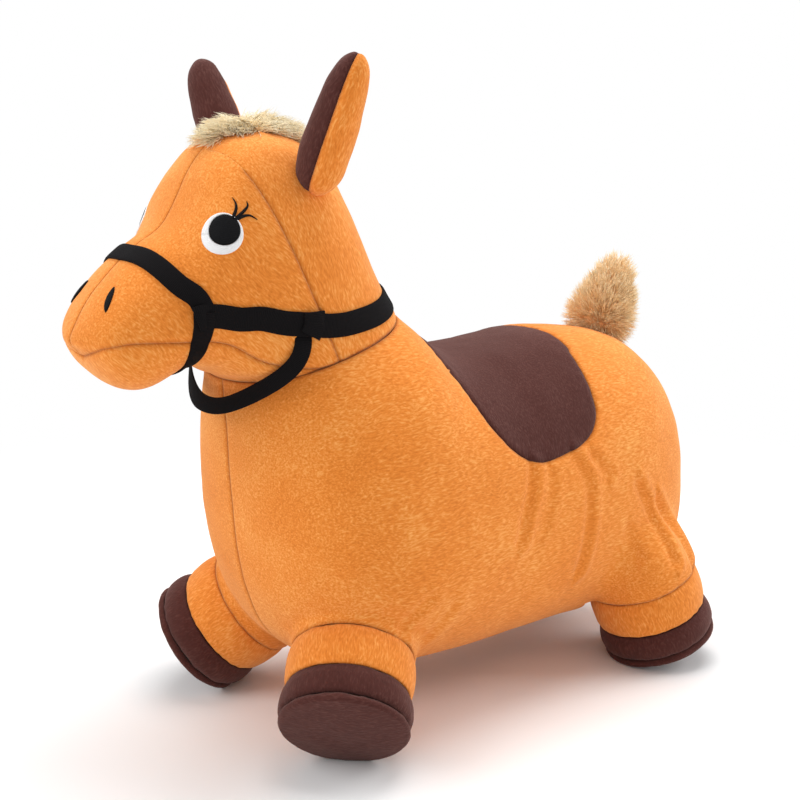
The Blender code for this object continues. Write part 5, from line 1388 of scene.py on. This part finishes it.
def head_strap(path, width, name, lift=lambda share: STRAP_LIFT):
    """Webbing laid over the head's cloth along a path of stations and angles."""
    line = np.array([head_point(*place) for place in smooth_line(path, 7)])
    line = evened(line, 4)
    tangents = unit(np.gradient(line, axis=0))
    around = np.array([head_cloth.find_nearest(Vector(point))[1] for point in line])
    around = unit(evened(around, 6))
    tops, undersides = [], []
    for k, (point, tangent, normal) in enumerate(zip(line, tangents, around)):
        side = Vector(np.cross(normal, tangent)).normalized()
        rise = lift(k / (len(line) - 1))
        top, under = [], []
        for j in range(WEB_ACROSS + 1):
            off = j / WEB_ACROSS * 2 - 1
            near, near_normal = head_cloth.find_nearest(Vector(point) + side * (off * width / 2))[:2]
            out = (near_normal + Vector(normal)).normalized()
            top.append(near + out * (rise + WEB_THICKNESS * (1 - 0.35 * abs(off) ** 8)))
            under.append(near + out * (rise - 0.0006 + WEB_THICKNESS * 0.15 * abs(off) ** 8))
        tops.append(top)
        undersides.append(under)
    return ribbon(evened(np.array(tops), 3), evened(np.array(undersides), 3), name)


def webbing(name, colour, light, rib=0.0011):
    """Ribbed webbing: cross ribs, fine warp lines and a faint unevenness in the yarn."""
    made, tree, shader = new_material(name, 0.8, Specular_IOR_Level=0.06)
    weave = node(tree, "ShaderNodeAttribute", {"attribute_name": "weave"}, {}, 1)
    parts = tree.nodes.new("ShaderNodeSeparateXYZ")
    tree.links.new(weave.socket, parts.inputs[0])
    across, along = Value(tree, parts.outputs["X"]), Value(tree, parts.outputs["Y"])
    yarn = node(tree, "ShaderNodeTexNoise", {}, {"Vector": weave, "Scale": 900.0, "Detail": 1.0})
    ribs = (along * (2 * math.pi / rib) + yarn * 1.6).sine() * 0.5 + 0.5
    warp = (across * (2 * math.pi / WARP_PITCH)).sine() * 0.5 + 0.5
    height = ribs * 0.75 + warp * 0.25
    # Painted highlight on the crests of the ribs and the warp, mixed with a random unevenness in the yarn
    tree.links.new(mix(tree, height * 0.7 + yarn * 0.3, colour, light).socket, shader.inputs["Base Color"])
    bump = node(tree, "ShaderNodeBump", {}, {"Height": height, "Strength": 0.8, "Distance": 0.0003})
    tree.links.new(bump.socket, shader.inputs["Normal"])
    return made


def both_sides(path):
    return path + [(station, -angle) for station, angle in reversed(path[:-1])]


def under_both_sides(path):
    return path + [(station, 360 - angle) for station, angle in reversed(path[:-1])]


def over_ends(share):
    """The headstall lies on top of the two other straps at its ends."""
    near = min(share, 1 - share)
    return 0.0005 + 0.0026 * max(0.0, min(1.0, (0.055 - near) / 0.02))


black_web = webbing("black_webbing", (0.0022, 0.0018, 0.0021), (0.0105, 0.0092, 0.0100))
noseband = head_strap(both_sides(NOSEBAND_PATH[::-1]), NOSEBAND_WIDTH, "noseband_web")
chin_strap = head_strap(under_both_sides(CHIN_PATH), NOSEBAND_WIDTH, "chin_strap_web",
                        lambda share: CHIN_STRAP_LIFT if min(share, 1 - share) < 0.10 else STRAP_LIFT)
headstall = head_strap(both_sides(HEADSTALL_PATH), WEB_WIDTH, "headstall_web", over_ends)
for piece, cad_node in ((noseband, "noseband"), (chin_strap, "chin_strap"), (headstall, "headstall_strap")):
    piece.data.materials.append(black_web)
    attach(piece, "head")
    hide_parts(cad_node)


# Rein: a loose loop of the same webbing that hangs across the chest. Each end is lapped over the headstall
# and sewn, and the loop swings from there.
REIN_WIDTH = 0.0120
LAP_WIDTH = REIN_WIDTH * 1.30
LAP_PATH = [(2.93, 94.2), (2.70, 95.4), (2.42, 97.2), (2.18, 99.6), (2.05, 101.6)]
REIN_HANG = [
    (0.0660, -0.0010, 0.0060), (0.0700, -0.0010, -0.0060), (0.0705, -0.0045, -0.0170),
    (0.0672, -0.0100, -0.0255), (0.0610, -0.0165, -0.0330), (0.0520, -0.0235, -0.0400),
    (0.0420, -0.0292, -0.0462), (0.0320, -0.0335, -0.0512), (0.0220, -0.0366, -0.0550),
    (0.0110, -0.0388, -0.0574), (0.0, -0.0393, -0.0580),
]
hang = joint_place["rein_swing"]
half = [Vector((x, hang[1] + y, hang[2] + z)) for x, y, z in REIN_HANG]
half = smooth_line([tuple(point) for point in half], 5)
line = np.array(list(half) + [(-x, y, z) for x, y, z in list(half)[-2::-1]])
line = evened(line, 6)
run = np.linspace(-1, 1, len(line))
faced = np.stack([-run * 1.6, -0.2 - 1.0 * (1 - np.abs(run)) ** 0.6, 0.55 * (1 - np.abs(run))], 1)
tangents = unit(np.gradient(line, axis=0))
faced = unit(faced - tangents * np.sum(faced * tangents, 1)[:, None])
side = np.cross(faced, tangents)
tops, undersides = [], []
for point, normal, across in zip(line, faced, side):
    offs = np.linspace(-1, 1, WEB_ACROSS + 1)[:, None]
    cupped = point + across * offs * REIN_WIDTH / 2 - normal * 0.0004 * offs ** 2
    tops.append(cupped + normal * WEB_THICKNESS / 2 * (1 - 0.3 * offs ** 8))
    undersides.append(cupped - normal * WEB_THICKNESS / 2 * (1 - 0.3 * offs ** 8))
rein = ribbon(np.array(tops), np.array(undersides), "rein_web")
keepers = []
for way in (1, -1):
    lap = [(station, angle * way) for station, angle in LAP_PATH]
    keepers.append(head_strap(lap, LAP_WIDTH, "rein_lap", lambda share: 0.0021 + 0.0004 * share))
only(rein, *keepers)
bpy.ops.object.join()
rein.name = "rein_web"
rein.data.materials.clear()
rein.data.materials.append(black_web)
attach(rein, "rein")
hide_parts("rein_loop")


# Zip along the belly, through which the bladder goes in: two woven tapes, moulded teeth that mesh on the
# middle line, end stops, and a cast slider with its pull tab
def block(middle, size):
    """A block of this size at this place, its place in its mesh."""
    bpy.ops.object.select_all(action="DESELECT")
    bpy.ops.mesh.primitive_cube_add(size=1, location=middle, scale=size)
    bpy.ops.object.transform_apply(location=True, rotation=True, scale=True)
    return bpy.context.object


def bevel_edges(width, segments):
    """Rounds every edge of the active piece."""
    bpy.ops.object.mode_set(mode="EDIT")
    bpy.ops.mesh.select_all(action="SELECT")
    bpy.ops.mesh.bevel(offset=width, segments=segments)
    bpy.ops.object.mode_set(mode="OBJECT")


tape_look = webbing("zip_tape", (0.20, 0.062, 0.014), (0.34, 0.12, 0.03), 0.0009)
for flank in ("left", "right"):
    low, high = [Vector(corner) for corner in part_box("zip_tape_" + flank)]
    tape = block((low + high) / 2, high - low)
    tape.name = "zip_tape_weave_" + flank
    bevel_edges(0.0003, 2)
    weave = tape.data.attributes.new("weave", "FLOAT_VECTOR", "POINT")
    weave.data.foreach_set("vector", [c for vert in tape.data.vertices for c in (vert.co.x, vert.co.y, 0.0)])
    tape.data.materials.append(tape_look)
    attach(tape, "body")
    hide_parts("zip_tape_" + flank)

TOOTH_PITCH = 0.0025
TOOTH_SIDE, TOOTH_REACH, TOOTH_THICKNESS = 0.00095, 0.0030, 0.00115
TOOTH_HEAD_SWELL = 1.35
TEETH_SPARE = 0.003
brass_look = clouded("zip_brass", 0.35, 260.0, 3.0, (0.50, 0.34, 0.14), (0.74, 0.56, 0.28), 0.25, 0.0003,
                     rough=(0.3, 0.2), Metallic=1.0)
for flank, way in (("left", 1), ("right", -1)):
    low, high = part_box("zip_teeth_" + flank)
    first = low[1] + TOOTH_PITCH * (0.5 if way > 0 else 1.0)
    tooth = block((TOOTH_SIDE * way, first, (low[2] + high[2]) / 2),
                  (TOOTH_REACH, TOOTH_THICKNESS, high[2] - low[2]))
    for vert in tooth.data.vertices:
        if vert.co.x * way < TOOTH_SIDE:
            vert.co.y = first + (vert.co.y - first) * TOOTH_HEAD_SWELL
    bevel_edges(0.0002, 1)
    apply(tooth, "ARRAY", count=int((high[1] - low[1] - TEETH_SPARE) / TOOTH_PITCH),
          use_relative_offset=False, use_constant_offset=True, constant_offset_displace=(0, TOOTH_PITCH, 0))
    tooth.name = "zip_teeth_row_" + flank
    tooth.data.materials.append(brass_look)
    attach(tooth, "body")
    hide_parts("zip_teeth_" + flank)


def finish_solid(cad_node, look):
    """Gives a solid that shows as it is its material."""
    frame["nodes"][cad_node].data.materials.clear()
    frame["nodes"][cad_node].data.materials.append(look)


for cad_node in ("zip_stop_front", "zip_stop_rear", "zip_slider", "zip_pull_tab"):
    finish_solid(cad_node, brass_look)


# Valve: the bladder's moulded seat shows through an eyelet sewn in the belly cover, and a pull-out plug of
# pale plastic closes it
finish_solid("valve_seat", clouded("valve_rubber", 0.5, 420.0, 3.0, (0.46, 0.15, 0.03), (0.60, 0.23, 0.06),
                                   0.3, 0.0002, Specular_IOR_Level=0.35))
finish_solid("valve_plug", clouded("valve_plug_plastic", 0.4, 700.0, 2.0, (0.72, 0.71, 0.68),
                                   (0.84, 0.83, 0.80), 0.2, 0.0001, Specular_IOR_Level=0.5))
EYELET_HEM = 0.0023
low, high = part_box("valve_eyelet")
centre = Matrix.Translation(((low[0] + high[0]) / 2, (low[1] + high[1]) / 2, low[2]))
reach, deep = (high[0] - low[0]) / 2, high[2] - low[2]
inner = reach - EYELET_HEM
outline = [(inner, deep), (inner - 0.0002, deep * 0.5), (inner + 0.0004, 0.0001), (reach - 0.0010, 0.0),
           (reach, deep * 0.45), (reach, deep * 0.9), (reach - 0.0006, deep)]
eyelet = turned([tuple(point) for point in smooth_line(outline + outline[:1], 4)], centre, 72, "eyelet_hem")
for face in eyelet.data.polygons:
    face.use_smooth = True
lay_cloth(eyelet, ALONG_BODY)
eyelet.data.materials.append(orange_look)
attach(eyelet, "body")
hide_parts("valve_eyelet")
